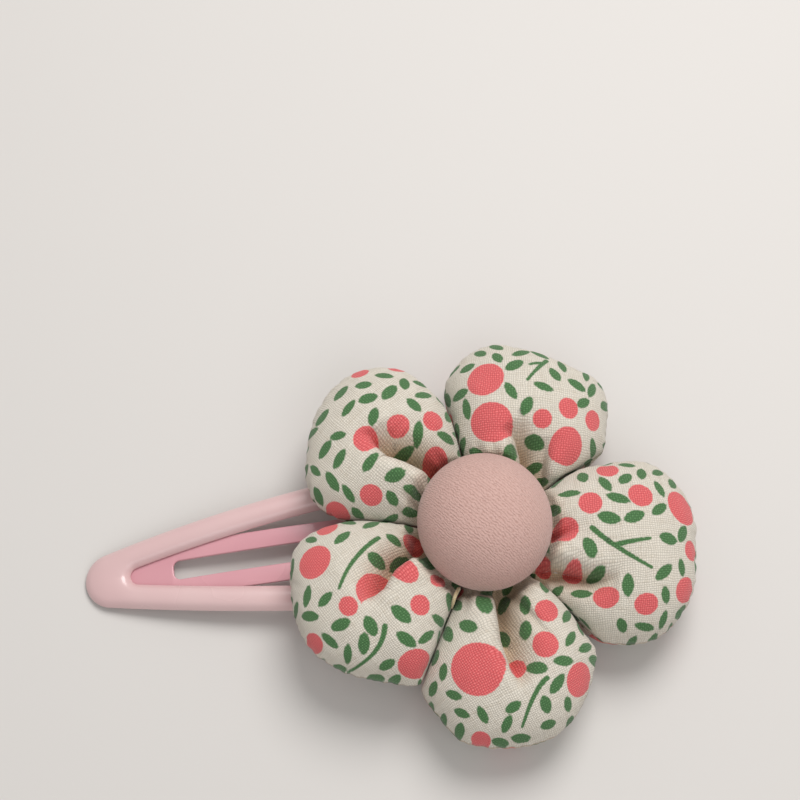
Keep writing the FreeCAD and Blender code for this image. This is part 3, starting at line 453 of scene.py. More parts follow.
# radii: the outline about the petal's middle, at even steps all round
# berries: x, y, radius; stems: points along each
# hidden: the side still seen of a berry that a roll half covers
petals = {
    1: {"azimuth": 129, "sides": (96.5, 167.0), **onClip, "grain": 44,
        "radii": [9.6, 9.6, 10.4, 12.5, 13.1, 12.6, 12.4, 13.2, 11.9, 11.2, 12.8, 12.8],
        "folds": [makeFold([(9.0, -6.2), (4.7, -4.4), (1.4, -2.8), (-1.0, -1.8), (-2.7, 0.1), (-3.6, 1.6)], 6.4,
                           0.8, 3.0, 1, end=4.5)],
        "berries": [(0.5, 2.2, 1.6), (5.2, 3.2, 1.65), (-3.9, 0.2, 1.9), (-3.1, -7.4, 1.7), (-7.7, -9.2, 2.3),
                    (5.7, -2.2, 2.1), (-4.8, 10.8, 1.5), (0.2, 11.8, 1.5)],
        "stems": [], "seed": 4},
    2: {"azimuth": 64, "sides": (27.8, 96.5), **onTable, "grain": 2,
        "radii": [12.3, 13.0, 13.2, 11.9, 11.3, 11.4, 11.8, 12.6, 12.8, 12.4, 11.7, 10.5, 10.2, 10.3, 10.6, 11.3,
                  12.8, 12.8, 12.2, 11.4, 11.3, 11.5, 12.0, 12.2],
        "folds": [makeFold([(0.4, -9.5), (-0.2, -5.2), (-0.7, -3.1), (-2.0, -1.7)], 5.2, 1.1, 2.1, 1, end=3.5),
                  makeFold([(3.0, -9.5), (3.3, -6.0), (3.5, -3.2)], 2.4, 0.8, 1.6, -1)],
        "berries": [(-4.7, 5.2, 2.9), (-4.0, -1.4, 3.1), (6.3, -4.4, 2.85), (3.0, -0.9, 1.35), (6.6, 0.8, 1.6),
                    (10.0, -0.3, 1.7), (-9.9, 0.6, 1.4)],
        "stems": [[(3.9, 8.4), (2.3, 6.4), (1.1, 4.8)], [(3.4, 7.8), (2.4, 7.7), (1.5, 7.4)]], "seed": 9},
    3: {"azimuth": -17, "sides": (-51.5, 27.8), **onTable, "grain": -3,
        "radii": [12.9, 14.1, 14.6, 12.9, 12.9, 13.4, 12.7, 12.0, 11.8, 12.3, 13.6, 13.3],
        "folds": [makeFold([(-12.0, -3.2), (-9.5, -2.8), (-7.6, -2.5), (-5.3, -3.0), (-2.3, -4.1), (1.6, -5.0)],
                           5.8, 0.8, 2.6, 1, end=3.5),
                  makeFold([(-12.0, -0.6), (-9.0, 0.0), (-6.6, 1.0), (-4.0, 2.6)], 2.6, 1.0, 1.8, -1)],
        "berries": [(0.6, 10.6, 1.8), (4.7, 6.5, 1.9), (10.4, 5.3, 2.9), (-2.1, 5.3, 1.75), (-5.6, 1.6, 2.0),
                    (11.5, -0.5, 1.75), (10.4, -5.9, 2.1), (-0.3, -7.4, 1.85), (5.0, -8.3, 1.85),
                    (-8.4, -2.4, 1.6), (-4.4, -3.4, 1.6)],
        "stems": [[(-2.0, 1.7), (1.1, -0.9), (5.7, -3.6)], [(1.1, -0.7), (3.6, -0.1), (5.6, 0.3)]], "seed": 16},
    4: {"azimuth": 273.5, "sides": (240.0, 308.5), **onTable, "grain": -28,
        "radii": [11.4, 10.2, 10.1, 11.0, 11.5, 12.0, 12.6, 12.8, 12.4, 11.6, 11.5, 11.4, 12.0, 12.8, 12.9, 12.9,
                  13.5, 13.2, 12.8, 12.7, 12.6, 12.2, 11.7, 11.4],
        "folds": [makeFold([(-2.8, 10.5), (-2.4, 6.9), (-1.9, 3.7), (-1.4, 0.5), (-0.2, -2.8), (1.6, -6.2)], 6.0,
                           0.75, 3.0, -1, end=3.2),
                  makeFold([(0.2, 9.5), (1.0, 6.8), (2.4, 4.4), (4.2, 1.9), (7.5, -1.1)], 1.1, 0.45, 0.8, 1)],
        "berries": [(-4.6, -3.9, 3.65), (4.8, 4.3, 1.7), (4.5, -0.4, 1.9), (0.6, -3.3, 1.4), (8.9, -4.6, 2.7),
                    (-4.0, -12.2, 1.7), (-7.0, 7.6, 1.2)],
        "stems": [[(4.5, -4.9), (2.9, -7.0), (1.3, -10.8)]], "seed": 23},
    5: {"azimuth": 205, "sides": (167.0, 240.0), **onClip, "grain": -36,
        "radii": [12.2, 12.8, 11.9, 10.9, 11.7, 13.4, 12.4, 12.2, 11.8, 11.8, 13.4, 12.2],
        "folds": [makeFold([(9.5, 7.4), (6.0, 5.2), (4.4, 4.2), (1.9, 2.2), (0.3, -0.1), (-2.4, -2.2)], 6.4, 0.7,
                           3.0, 1, end=3.5)],
        "berries": [(-8.9, 3.4, 2.8), (-4.3, -3.0, 1.4), (-0.4, -0.6, 3.0), (3.5, 1.5, 1.6), (5.1, -2.8, 1.5),
                    (7.6, 1.0, 1.3), (4.4, 7.2, 1.7), (-8.8, -7.1, 1.75), (4.5, -10.1, 2.7), (-7.2, 8.5, 1.8)],
        "hidden": {2: 132}, "stems": [[(-0.4, 6.8), (-3.4, 3.7), (-5.5, -0.6)],
                                      [(0.5, -5.6), (-0.8, -8.7), (-4.4, -10.8)]], "seed": 31},
}
petalMesh = {"segments": 160, "rings": 80, "profile": 2.5, "roundness": 0.52, "stretch": 0.24,
             "underProfile": 3.2, "underRoundness": 0.6, "thinnest": 0.9}
folding = {"fall": 1.7, "swell": 0.11, "swellAt": 1.9, "swellWide": 1.1, "lean": 0.17, "leanAt": 0.9,
           "leanWide": 0.8}
crumpling = {"lumps": (0.15, 0.55), "smallLumps": (0.42, 0.17), "bulgeOut": 0.3, "petalRadius": 12,
             "gathers": (34, 0.34), "gathersAt": (9.0, 2.8), "puckers": (52, 0.10), "puckerWide": 0.05}
pressing = {"sharp": 6, "reach": 3, "over": 3, "shoulder": 1.5, "shoulderWide": 1.1}
stuffing = {"clear": 1.3, "least": 0.1, "most": 0.85, "foldThin": 0.8, "foldDepth": 1.6, "centreThin": 0.35,
            "centre": (9.5, 13.0), "rimIn": 0.07, "sideGap": 0.8}
puffing = {"grow": 30.0, "frames": 20, "pressure": 4.0, "slack": -0.02, "bending": 0.6, "cap": 0.7}
leafPrint = {"long": (1.35, 1.85), "wide": (0.68, 0.92), "apart": 2.8, "clear": 0.5, "tries": 3000, "count": 120,
             "stem": 0.38}


def smoothStep(value, low, high):
    t = np.clip((value - low) / (high - low), 0, 1)
    return t * t * (3 - 2 * t)


# radius of a closed smooth outline through evenly spaced radii
def outlineRadius(radii, angle):
    count = len(radii)
    turn = np.mod(angle / (2 * math.pi) * count, count)
    k = np.floor(turn).astype(int)
    t = turn - k
    a, b, c, d = (np.array(radii)[(k + shift) % count] for shift in (-1, 0, 1, 2))
    return 0.5 * (2 * b + (c - a) * t + (2 * a - 5 * b + 4 * c - d) * t**2 + (3 * b - a - 3 * c + d) * t**3)


def viewAxes():
    return np.array([math.cos(viewTurn), math.sin(viewTurn)]), np.array([-math.sin(viewTurn), math.cos(viewTurn)])


def noiseAt(points, scale, seed):
    return np.array([noise.noise(Vector(p) * scale + Vector((seed, seed * 0.7, 0))) for p in points])


# nearest place on a line of points: distance, signed side, how far along, and the direction square to it
def nearLine(flat, line):
    best = np.full(len(flat), 1e9)
    side, along, square = np.zeros(len(flat)), np.zeros(len(flat)), np.zeros((len(flat), 2))
    lengths = [math.dist(a, b) for a, b in zip(line[:-1], line[1:])]
    done = 0.0
    for (a, b), length in zip(zip(line[:-1], line[1:]), lengths):
        a, direction = np.array(a), (np.array(b) - np.array(a)) / length
        left = np.array([-direction[1], direction[0]])
        t = np.clip((flat - a) @ direction, 0, length)
        away = flat - a - t[:, None] * direction
        far = np.linalg.norm(away, axis=1)
        closer = far < best
        best[closer] = far[closer]
        side[closer] = (away @ left)[closer]
        along[closer] = ((done + t) / sum(lengths))[closer]
        square[closer] = left
        done += length
    return best, side, along, square


# how far the folds pull the cloth down, and how far their rolled edges lean over them
def foldShape(local, folds):
    drop, lean = np.zeros(len(local)), np.zeros((len(local), 2))
    for fold in folds:
        far, side, along, square = nearLine(local, fold["line"])
        turn = np.clip(side * fold["roll"] / np.maximum(far, 1e-6), -1, 1)
        wide = fold["gentle"] + (fold["steep"] - fold["gentle"]) * (0.5 + 0.5 * turn)
        strength = fold["depth"] * (1 - along ** fold["end"])
        drop += strength * np.exp(-np.power(far / wide, folding["fall"]))
        rolled = np.clip(turn, 0, 1)
        swell = np.exp(-np.power((far - folding["swellAt"]) / folding["swellWide"], 2))
        drop -= folding["swell"] * strength * rolled * swell
        over = np.exp(-np.power((far - folding["leanAt"]) / folding["leanWide"], 2))
        lean -= (folding["lean"] * strength * rolled * over)[:, None] * square * fold["roll"]
    return drop, lean


# places, cloth places and the two skins' heights for the points of a unit ball
def shapePetal(unit, petal):
    angle, rho = np.arctan2(unit[:, 1], unit[:, 0]), np.minimum(np.hypot(unit[:, 0], unit[:, 1]), 1)
    top = unit[:, 2] >= -1e-6
    right, up = viewAxes()
    bearing = math.radians(petal["azimuth"])
    middle = np.array(flower["centre"]) + flower["reach"] * np.array([math.cos(bearing), math.sin(bearing)])
    radius = outlineRadius(petal["radii"], angle)
    heading = np.stack([np.cos(angle), np.sin(angle)], 1)
    local = heading * (radius * rho)[:, None]
    drop, lean = foldShape(local, petal["folds"])
    bulge = np.power(np.clip(1 - rho ** petalMesh["profile"], 0, 1), petalMesh["roundness"])
    moved = local + lean * (top * np.minimum(1, bulge * 1.3))[:, None]
    plan = middle + moved[:, :1] * right + moved[:, 1:] * up
    out = np.hypot(plan[:, 0] - flower["centre"][0], plan[:, 1] - flower["centre"][1])
    inner = 1 - smoothStep(out, *flower["gathered"])
    rim = petal["middle"] * (1 - inner) + flower["gatherZ"] * inner
    clear = smoothStep(out, flower["buttonEdge"], flower["buttonEdge"] + flower["rise"])
    crown = np.minimum(petal["middle"] + petal["high"], flower["underButton"] + flower["shoulder"] * clear)
    floorRise = 1 - smoothStep(out, flower["feltRound"], flower["feltRound"] + flower["feltEase"])
    lowest = petal["base"] + (flower["feltTop"] - petal["base"]) * floorRise
    hollow = np.power(np.clip(1 - rho ** petalMesh["underProfile"], 0, 1), petalMesh["underRoundness"])
    under = rim - (rim - lowest) * hollow
    upper = rim + (crown - rim) * bulge - drop * np.minimum(1, bulge * 1.6)
    upper = np.maximum(upper, under + petalMesh["thinnest"] * np.minimum(1, bulge * 1.5))
    flat = heading * (radius * rho * (1 + petalMesh["stretch"] * rho**3))[:, None]
    places = np.column_stack([plan, np.where(top, upper, under)])
    return {"places": places, "flat": flat, "top": top, "out": out, "rho": rho, "angle": angle, "drop": drop,
            "bulge": bulge}


# flattens the petal where it presses against its neighbours
def pressSides(places, petal, gap=0.0, shoulder=0.0):
    centre = np.array(flower["centre"])
    for side, sign in zip(petal["sides"], (1, -1)):
        normal = np.array([math.sin(math.radians(side)), -math.cos(math.radians(side))]) * sign
        beyond = (places[:, :2] - centre) @ normal + gap
        eased = -np.log1p(np.exp(np.clip(-beyond * pressing["sharp"], -60, 60))) / pressing["sharp"]
        places[:, :2] += (eased - beyond)[:, None] * normal * (beyond > -pressing["reach"])[:, None]
        above = np.clip((places[:, 2] - petal["middle"]) / pressing["over"], 0, 1)
        places[:, 2] -= shoulder * above * np.exp(-np.maximum(-eased, 0) / pressing["shoulderWide"])
    return places


# small lumps of stuffing, gathers towards the flower's middle and puckers along the rim
def crumple(form, petal):
    places, rho, out = form["places"], form["rho"], form["out"]
    seed = petal["seed"]
    (broad, high), (narrow, low) = crumpling["lumps"], crumpling["smallLumps"]
    lumps = noiseAt(places, broad, seed) * high + noiseAt(places, narrow, seed + 3) * low
    around = np.arctan2(places[:, 1] - flower["centre"][1], places[:, 0] - flower["centre"][0])
    (many, deep), (at, wide) = crumpling["gathers"], crumpling["gathersAt"]
    gathers = np.sin(around * many + 4 * noiseAt(places, 0.2, seed + 5)) * deep
    gathers = gathers * np.exp(-np.power((out - at) / wide, 2))
    (many, deep), wide = crumpling["puckers"], crumpling["puckerWide"]
    pucker = np.sin(form["angle"] * many + 7 * noiseAt(places, 0.25, seed + 7)) * deep
    pucker = pucker * np.exp(-np.power((1 - rho) / wide, 2))
    lift = (lumps * (1 - rho**6) + gathers * form["top"]) * np.sqrt(np.clip(1 - rho**4, 0, 1))
    places[:, 2] += lift * np.where(form["top"], 1.0, -0.35)
    middle = places[:, :2].mean(axis=0)
    grow = 1 + (lumps * crumpling["bulgeOut"] * rho**4 + pucker) / crumpling["petalRadius"]
    places[:, :2] = middle + (places[:, :2] - middle) * grow[:, None]
    return places


# depth inside an almond leaf with soft tips, in millimetres
def leafField(flat, at, turn, long, wide):
    delta = flat - np.array(at)
    along = delta @ np.array([math.cos(turn), math.sin(turn)])
    across = np.abs(delta @ np.array([-math.sin(turn), math.cos(turn)]))
    bend = (long * long + wide * wide) / (2 * wide)
    pointed = bend - np.hypot(along, across + bend - wide)
    return 0.45 * pointed + 0.55 * wide * (1 - np.hypot(along / long, across / wide))


# a stem is drawn as a smooth bow through its three points
def stemPoints(points):
    a, b, c = (np.array(p) for p in points)
    return [(1 - t) ** 2 * a + 2 * t * (1 - t) * (2 * b - (a + c) / 2) + t * t * c for t in np.linspace(0, 1, 9)]


# where a place seen from above lies on the flat cloth
def toFlat(point, petal):
    far = math.hypot(*point)
    rho = min(far / float(outlineRadius(petal["radii"], np.array([math.atan2(point[1], point[0])]))[0]), 1.04)
    return point[0] * (1 + petalMesh["stretch"] * rho**3), point[1] * (1 + petalMesh["stretch"] * rho**3)


# berry and leaf fields, positive inside the print
def printPattern(flat, petal, upper):
    draw = random.Random(petal["seed"] * (1 if upper else 7))
    if upper:
        berries = [(*toFlat((x, y), petal), r) for x, y, r in petal["berries"]]
        hidden = petal.get("hidden", {})
        stems = [[toFlat(point, petal) for point in stemPoints(stem)] for stem in petal["stems"]]
    else:
        berries, hidden, stems = [], {}, [stemPoints([(-4.0, 6.0), (-1.0, 2.5), (0.5, -2.5)]),
                                          stemPoints([(6.0, -3.0), (8.0, -6.0), (7.0, -9.5)])]
        for attempt in range(300):
            x, y, r = draw.uniform(-15, 15), draw.uniform(-15, 15), draw.uniform(1.4, 2.9)
            if all(math.hypot(x - a, y - b) > r + c + 2.4 for a, b, c in berries):
                berries.append((x, y, r))
    berry, leaf = np.full(len(flat), -9.0), np.full(len(flat), -9.0)
    for number, (x, y, r) in enumerate(berries):
        squeeze, turn = draw.uniform(0.92, 1.0), draw.uniform(0, math.pi)
        delta = flat - np.array((x, y))
        along = delta @ np.array([math.cos(turn), math.sin(turn)])
        across = delta @ np.array([-math.sin(turn), math.cos(turn)])
        disc = r - np.hypot(along, across / squeeze)
        if number in hidden:
            shown = math.radians(hidden[number])
            disc = np.minimum(disc, delta @ np.array([math.cos(shown), math.sin(shown)]))
        berry = np.maximum(berry, disc)
    for points in stems:
        far, side, along, square = nearLine(flat, [tuple(point) for point in points])
        leaf = np.maximum(leaf, leafPrint["stem"] * (1.1 - 0.45 * along) - far)
    stemSpots = [tuple(point) for points in stems for point in points]
    leaves = []
    for attempt in range(leafPrint["tries"]):
        if len(leaves) == leafPrint["count"]:
            break
        x, y = draw.uniform(-17, 17), draw.uniform(-17, 17)
        turn = math.pi * 0.35 + noise.noise(Vector((x * 0.09, y * 0.09, petal["seed"]))) * 4 + draw.uniform(-0.6,
            0.6)
        long, wide = draw.uniform(*leafPrint["long"]), draw.uniform(*leafPrint["wide"])
        clear = all(math.hypot(x - a, y - b) > c + leafPrint["clear"] + 0.75 for a, b, c in berries)
        clear = clear and all(math.hypot(x - a, y - b) > leafPrint["apart"] for a, b in leaves)
        if clear and all(math.hypot(x - a, y - b) > 1.75 for a, b in stemSpots):
            leaves.append((x, y))
            leaf = np.maximum(leaf, leafField(flat, (x, y), turn, long, wide))
    return berry, leaf


def readPlaces(piece):
    places = np.zeros(len(piece.data.vertices) * 3, np.float64)
    piece.data.vertices.foreach_get("co", places)
    return places.reshape(-1, 3)


def writePlaces(piece, places):
    piece.data.vertices.foreach_set("co", np.ascontiguousarray(places, np.float32).ravel())
    piece.data.update()


def applyModifier(piece, kind, **settings):
    pick(piece)
    made = piece.modifiers.new(kind.lower(), kind)
    for name, value in settings.items():
        setattr(made, name, value)
    bpy.ops.object.modifier_apply(modifier=made.name)


def storeField(piece, name, values, kind="FLOAT"):
    field = piece.data.attributes.get(name) or piece.data.attributes.new(name, kind, "POINT")
    field.data.foreach_set("vector" if kind == "FLOAT_VECTOR" else "value",
                           np.ascontiguousarray(values, np.float32).ravel())


def readField(piece, name):
    values = np.zeros(len(piece.data.vertices) * 3, np.float32)
    piece.data.attributes[name].data.foreach_get("vector", values)
    return values.reshape(-1, 3)


# lays the piece's own map out flat: its upper side to the left of its under side
def clothMap(piece, flat, upper, grain=0.0):
    for old in list(piece.data.uv_layers):
        piece.data.uv_layers.remove(old)
    layer = piece.data.uv_layers.new(name="cloth")
    cos, sin = math.cos(math.radians(grain)), math.sin(math.radians(grain))
    turned = np.column_stack([flat[:, 0] * cos - flat[:, 1] * sin, flat[:, 0] * sin + flat[:,
        1] * cos]) / clothSpan
    corners = np.zeros(len(piece.data.loops), np.int32)
    piece.data.loops.foreach_get("vertex_index", corners)
    counts = np.zeros(len(piece.data.polygons), np.int32)
    piece.data.polygons.foreach_get("loop_total", counts)
    starts = np.concatenate([[0], np.cumsum(counts)[:-1]])
    share = np.add.reduceat(np.asarray(upper, float)[corners], starts) / counts
    side = np.repeat(np.where(share >= 0.5, 0.25, 0.75), counts)
    layer.data.foreach_set("uv", np.ascontiguousarray(np.column_stack([turned[corners, 0] + side,
        turned[corners, 1] + 0.5]), np.float32).ravel())


# short cloth run at cushion size: pressure fills the cover and the slack cloth wrinkles near what is held
def puffUp(cover, held):
    trial = cover.copy()
    trial.data = cover.data.copy()
    bpy.context.collection.objects.link(trial)
    writePlaces(trial, readPlaces(cover) * puffing["grow"])
    group = trial.vertex_groups.new(name="held")
    for level in range(1, 11):
        chosen = np.flatnonzero(np.round(held * 10) == level)
        if len(chosen):
            group.add(chosen.tolist(), level / 10, "REPLACE")
    pick(trial)
    cloth = trial.modifiers.new("cloth", "CLOTH")
    settings = cloth.settings
    settings.quality, settings.mass, settings.air_damping = 4, 0.2, 2.0
    settings.tension_stiffness, settings.compression_stiffness, settings.shear_stiffness = 15, 8, 5
    settings.bending_stiffness = puffing["bending"]
    settings.use_pressure, settings.uniform_pressure_force = True, puffing["pressure"]
    settings.vertex_group_mass = "held"
    settings.shrink_min = puffing["slack"]
    settings.effector_weights.gravity = 0
    scene = bpy.context.scene
    for step in range(1, puffing["frames"] + 1):
        scene.frame_set(step)
    seen = trial.evaluated_get(bpy.context.evaluated_depsgraph_get())
    after = np.zeros(len(seen.data.vertices) * 3, np.float32)
    seen.data.vertices.foreach_get("co", after)
    before = readPlaces(cover)
    move = after.reshape(-1, 3) / puffing["grow"] - before
    far = np.linalg.norm(move, axis=1) / mm
    cap = puffing["cap"]
    move *= (cap * np.tanh(far / cap) / np.maximum(far, 1e-9))[:, None]
    print("cloth moved up to", round(float(far.max()), 2), "mm, middle", round(float(np.median(far)), 2))
    writePlaces(cover, before + move)
    bpy.data.objects.remove(trial)
    scene.frame_set(1)


def makePetal(number):
    petal = petals[number]
    clearSelection()
    bpy.ops.mesh.primitive_uv_sphere_add(segments=petalMesh["segments"], ring_count=petalMesh["rings"], radius=1)
    cover = bpy.context.object
    cover.name = f"petalCover{number}"
    unit = readPlaces(cover)
    filling = cover.copy()
    filling.data = cover.data.copy()
    bpy.context.collection.objects.link(filling)
    filling.name = f"petalFilling{number}"
    form = shapePetal(unit, petal)
    places = pressSides(crumple(form, petal), petal, shoulder=pressing["shoulder"])
    places[:, 2] = np.maximum(places[:, 2], petal["base"])
    writePlaces(cover, places * mm)
    storeField(cover, "flatPlace", np.column_stack([form["flat"], form["top"].astype(float)]), "FLOAT_VECTOR")
    valley = np.clip(form["drop"] / 2.2, 0, 1) ** 0.7
    held = np.maximum(valley * form["top"], 1 - smoothStep(form["out"], 8.0, 11.5))
    held = np.maximum(held, 1 - smoothStep(places[:, 2] - petal["base"], 0.5, 2.5))
    puffUp(cover, np.clip(held, 0, 1))
    places = pressSides(readPlaces(cover) / mm, petal)
    places[:, 2] = np.maximum(places[:, 2], petal["base"])
    writePlaces(cover, places * mm)
    # painted shade: how deep each fold sinks, plus the cloth next to the button, stored as the fold field that
    # darkens the colour
    paintedShade = np.clip(form["drop"] / 4.5, 0, 1) ** 1.3 * form["top"]
    storeField(cover, "fold", np.clip(paintedShade + 0.55 * (1 - smoothStep(form["out"], 9.0, 12.0)), 0, 1))
    # the seam field marks the rim's seam; it darkens the colour there as painted shade in the crease and grooves
    # the relief
    storeField(cover, "seam", np.exp(-np.power(form["bulge"] * petal["high"] / 0.36, 2)))
    applyModifier(cover, "SUBSURF", levels=1, render_levels=1)
    smooth(cover)
    laid = readField(cover, "flatPlace")
    upper = laid[:, 2] >= 0.5
    fields = [printPattern(laid[:, :2], petal, side) for side in (True, False)]
    storeField(cover, "berry", np.where(upper, fields[0][0], fields[1][0]))
    storeField(cover, "leaf", np.where(upper, fields[0][1], fields[1][1]))
    clothMap(cover, laid[:, :2], upper, petal["grain"])
    wear(cover, "petal_cloth", "clip")
    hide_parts(f"petal_{number}_cover")
    makeFilling(filling, unit, places, form, number)


# loose fibre inside the cover: each point keeps clear of the cloth above, below and beside it
def makeFilling(filling, unit, covered, form, number):
    across = kdtree.KDTree(len(unit))
    for k, point in enumerate(unit):
        across.insert(point, k)
    across.balance()
    facing = np.array([across.find((x, y, -z))[1] for x, y, z in unit])
    places = covered.copy()
    middle = (covered[:, 2] + covered[facing, 2]) / 2
    thick = np.abs(covered[:, 2] - covered[facing, 2])
    share = np.clip(1 - stuffing["clear"] / np.maximum(thick, 1e-6), stuffing["least"], stuffing["most"])
    share = share * (1 - stuffing["foldThin"] * smoothStep(form["drop"], 0.0, stuffing["foldDepth"]))
    share *= stuffing["centreThin"] + (1 - stuffing["centreThin"]) * smoothStep(form["out"], *stuffing["centre"])
    places[:, 2] = middle + (places[:, 2] - middle) * share * (0.96 + 0.08 * noiseAt(places, 0.6, number))
    centre = places[:, :2].mean(axis=0)
    places[:, :2] = centre + (places[:, :2] - centre) * (1 - stuffing["rimIn"] * smoothStep(form["rho"], 0.55,
        1.0))[:, None]
    writePlaces(filling, pressSides(places, petals[number], gap=stuffing["sideGap"]) * mm)
    smooth(filling)
    wear(filling, "stuffing", "clip")
    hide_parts(f"petal_{number}_filling")


for number in petals:
    makePetal(number)
    print("petal", number, "made")


# spins a line of (radius, height) points about the flower's axis, closed where it meets the axis
def turned(name, profile, steps):
    clearSelection()
    axis = (flower["centre"][0] * mm, flower["centre"][1] * mm, 0)
    bpy.ops.mesh.primitive_plane_add(size=0.001, location=(axis[0] + profile[0][0] * mm, axis[1],
        profile[0][1] * mm))
    piece = bpy.context.object
    piece.name = name
    openMesh(piece)
    bpy.ops.mesh.merge(type="CENTER")
    for (r0, z0), (r1, z1) in zip(profile[:-1], profile[1:]):
        bpy.ops.mesh.extrude_region_move(TRANSFORM_OT_translate={"value": ((r1 - r0) * mm, 0, (z1 - z0) * mm)})
    bpy.ops.mesh.select_all(action="SELECT")
    bpy.ops.mesh.spin(steps=steps, angle=2 * math.pi, center=axis, axis=(0, 0, 1))
    bpy.ops.mesh.select_all(action="SELECT")
    bpy.ops.mesh.remove_doubles(threshold=0.002 * mm)
    bpy.ops.mesh.normals_make_consistent(inside=False)
    closeMesh()
    settle(piece)
    smooth(piece)
    return piece


# puts the object at the origin with its place in its mesh
def settle(piece):
    pick(piece)
    bpy.ops.object.transform_apply(location=True, rotation=True, scale=True)


buttonCap = {"profile": [(6.9, 11.62), (7.4, 11.40), (8.0, 11.30), (8.6, 11.46), (9.02, 11.92), (9.22, 12.6),
                         (9.2, 13.4), (8.95, 14.6), (8.35, 15.9),
                         (7.4, 17.1), (6.15, 18.2), (4.7, 19.05), (3.1, 19.6), (1.5, 19.87), (0.0, 19.93)],
             "steps": 72, "thick": 0.34, "pleats": 26, "pleatDeep": 0.16, "oval": (0.99, 1.04),
             "tucked": 12.2, "tuckEase": 0.7, "top": 19.93, "drape": 0.55}


def makeButtonCover():
    cover = turned("buttonCover", buttonCap["profile"], buttonCap["steps"])
    applyModifier(cover, "SUBSURF", levels=1, render_levels=1)
    places = readPlaces(cover) / mm
    aside = places[:, :2] - np.array(flower["centre"])
    out, around = np.hypot(*aside.T), np.arctan2(aside[:, 1], aside[:, 0])
    places[:, :2] = np.array(flower["centre"]) + aside * np.array(buttonCap["oval"])
    below = buttonCap["tucked"] - places[:, 2]
    tucked = (below > 0) * smoothStep(below, 0, buttonCap["tuckEase"])
    pleats = np.sin(around * buttonCap["pleats"] + 2 * np.sin(around * 3))
    places[:, 2] -= tucked * buttonCap["pleatDeep"] * (0.5 + 0.5 * pleats)
    writePlaces(cover, places * mm)
    arc = out + buttonCap["drape"] * np.maximum(0, buttonCap["top"] - places[:, 2]) * smoothStep(out, 2, 9.5)
    flat = np.stack([np.cos(around), np.sin(around)], 1) * arc[:, None]
    turn = Matrix.Rotation(-viewTurn, 2)
    flat = flat @ np.array(turn).T
    clothMap(cover, flat, np.ones(len(flat)))
    applyModifier(cover, "SOLIDIFY", thickness=buttonCap["thick"] * mm, offset=-1)
    wear(cover, "button_cloth", "clip")
    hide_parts("button_cover")


feltDisc = {"profile": [(0.0, 4.84), (6.0, 4.84), (10.0, 4.84), (12.5, 4.84), (12.85, 4.95), (13.0, 5.2),
                        (13.0, 5.6),
                        (12.85, 5.85), (12.5, 5.96), (10.0, 5.98), (6.0, 5.98), (0.0, 5.98)],
            "steps": 72, "middle": 5.41, "fuzz": (0.05, 0.03)}


def makeFelt():
    felt = turned("feltBacking", feltDisc["profile"], feltDisc["steps"])
    applyModifier(felt, "SUBSURF", levels=2, render_levels=2)
    places = readPlaces(felt) / mm
    coarse, fine = feltDisc["fuzz"]
    fuzz = noiseAt(places, 1.6, 3.0) * coarse + noiseAt(places, 5.0, 8.0) * fine
    middle = np.array([*flower["centre"], feltDisc["middle"]])
    away = places - middle
    places += away / np.linalg.norm(away, axis=1)[:, None] * fuzz[:, None] * np.array([1, 1, 0.6])
    writePlaces(felt, places * mm)
    wear(felt, "felt", "clip")
    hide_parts("backing_felt")


# thread laid along runs of points: strands wound round each other
def twisted(name, runs, radius, strands, turnsPerMm):
    clearSelection()
    made = []
    for run in runs:
        points = np.array(run["points"], float)
        closed = run.get("closed", False)
        step = np.roll(points, -1, axis=0) - points
        tangent = np.roll(points, -1, axis=0) - np.roll(points, 1, axis=0)
        if not closed:
            tangent[0], tangent[-1] = step[0], step[-2]
            step[-1] = 0
        tangent /= np.linalg.norm(tangent, axis=1)[:, None]
        length = np.concatenate([[0], np.cumsum(np.linalg.norm(step, axis=1))[:-1]])
        total = np.linalg.norm(step, axis=1).sum()
        turns = max(1, round(total * turnsPerMm))
        helper = np.array(run["side"], float)
        first = np.cross(tangent, helper)
        first /= np.linalg.norm(first, axis=1)[:, None]
        second = np.cross(tangent, first)
        for strand in range(strands):
            phase = 2 * math.pi * (length / total * turns + strand / strands)
            path = points + radius * 0.5 * (np.cos(phase)[:, None] * first + np.sin(phase)[:, None] * second)
            curve = bpy.data.curves.new(name, "CURVE")
            curve.dimensions = "3D"
            curve.bevel_depth, curve.bevel_resolution, curve.use_fill_caps = radius * 0.52 * mm, 2, True
            spline = curve.splines.new("POLY")
            spline.points.add(len(path) - 1)
            for point, place in zip(spline.points, path):
                point.co = (*(place * mm), 1)
            spline.use_cyclic_u = closed
            piece = bpy.data.objects.new(name, curve)
            bpy.context.collection.objects.link(piece)
            made.append(piece)
    clearSelection()
    for piece in made:
        piece.select_set(True)
    bpy.context.view_layer.objects.active = made[0]
    bpy.ops.object.convert(target="MESH")
    bpy.ops.object.join()
    joined = bpy.context.object
    joined.name = name
    bpy.ops.object.shade_smooth()
    return joined


threadSet = {"tack": (240.0, 9.3, 11.9, 10.7), "ring": 3.28, "ringRise": (8.2, 8.82), "radius": 0.27, "legs": 1.3,
             "legTop": 8.9, "low": 4.5, "twist": 0.9}


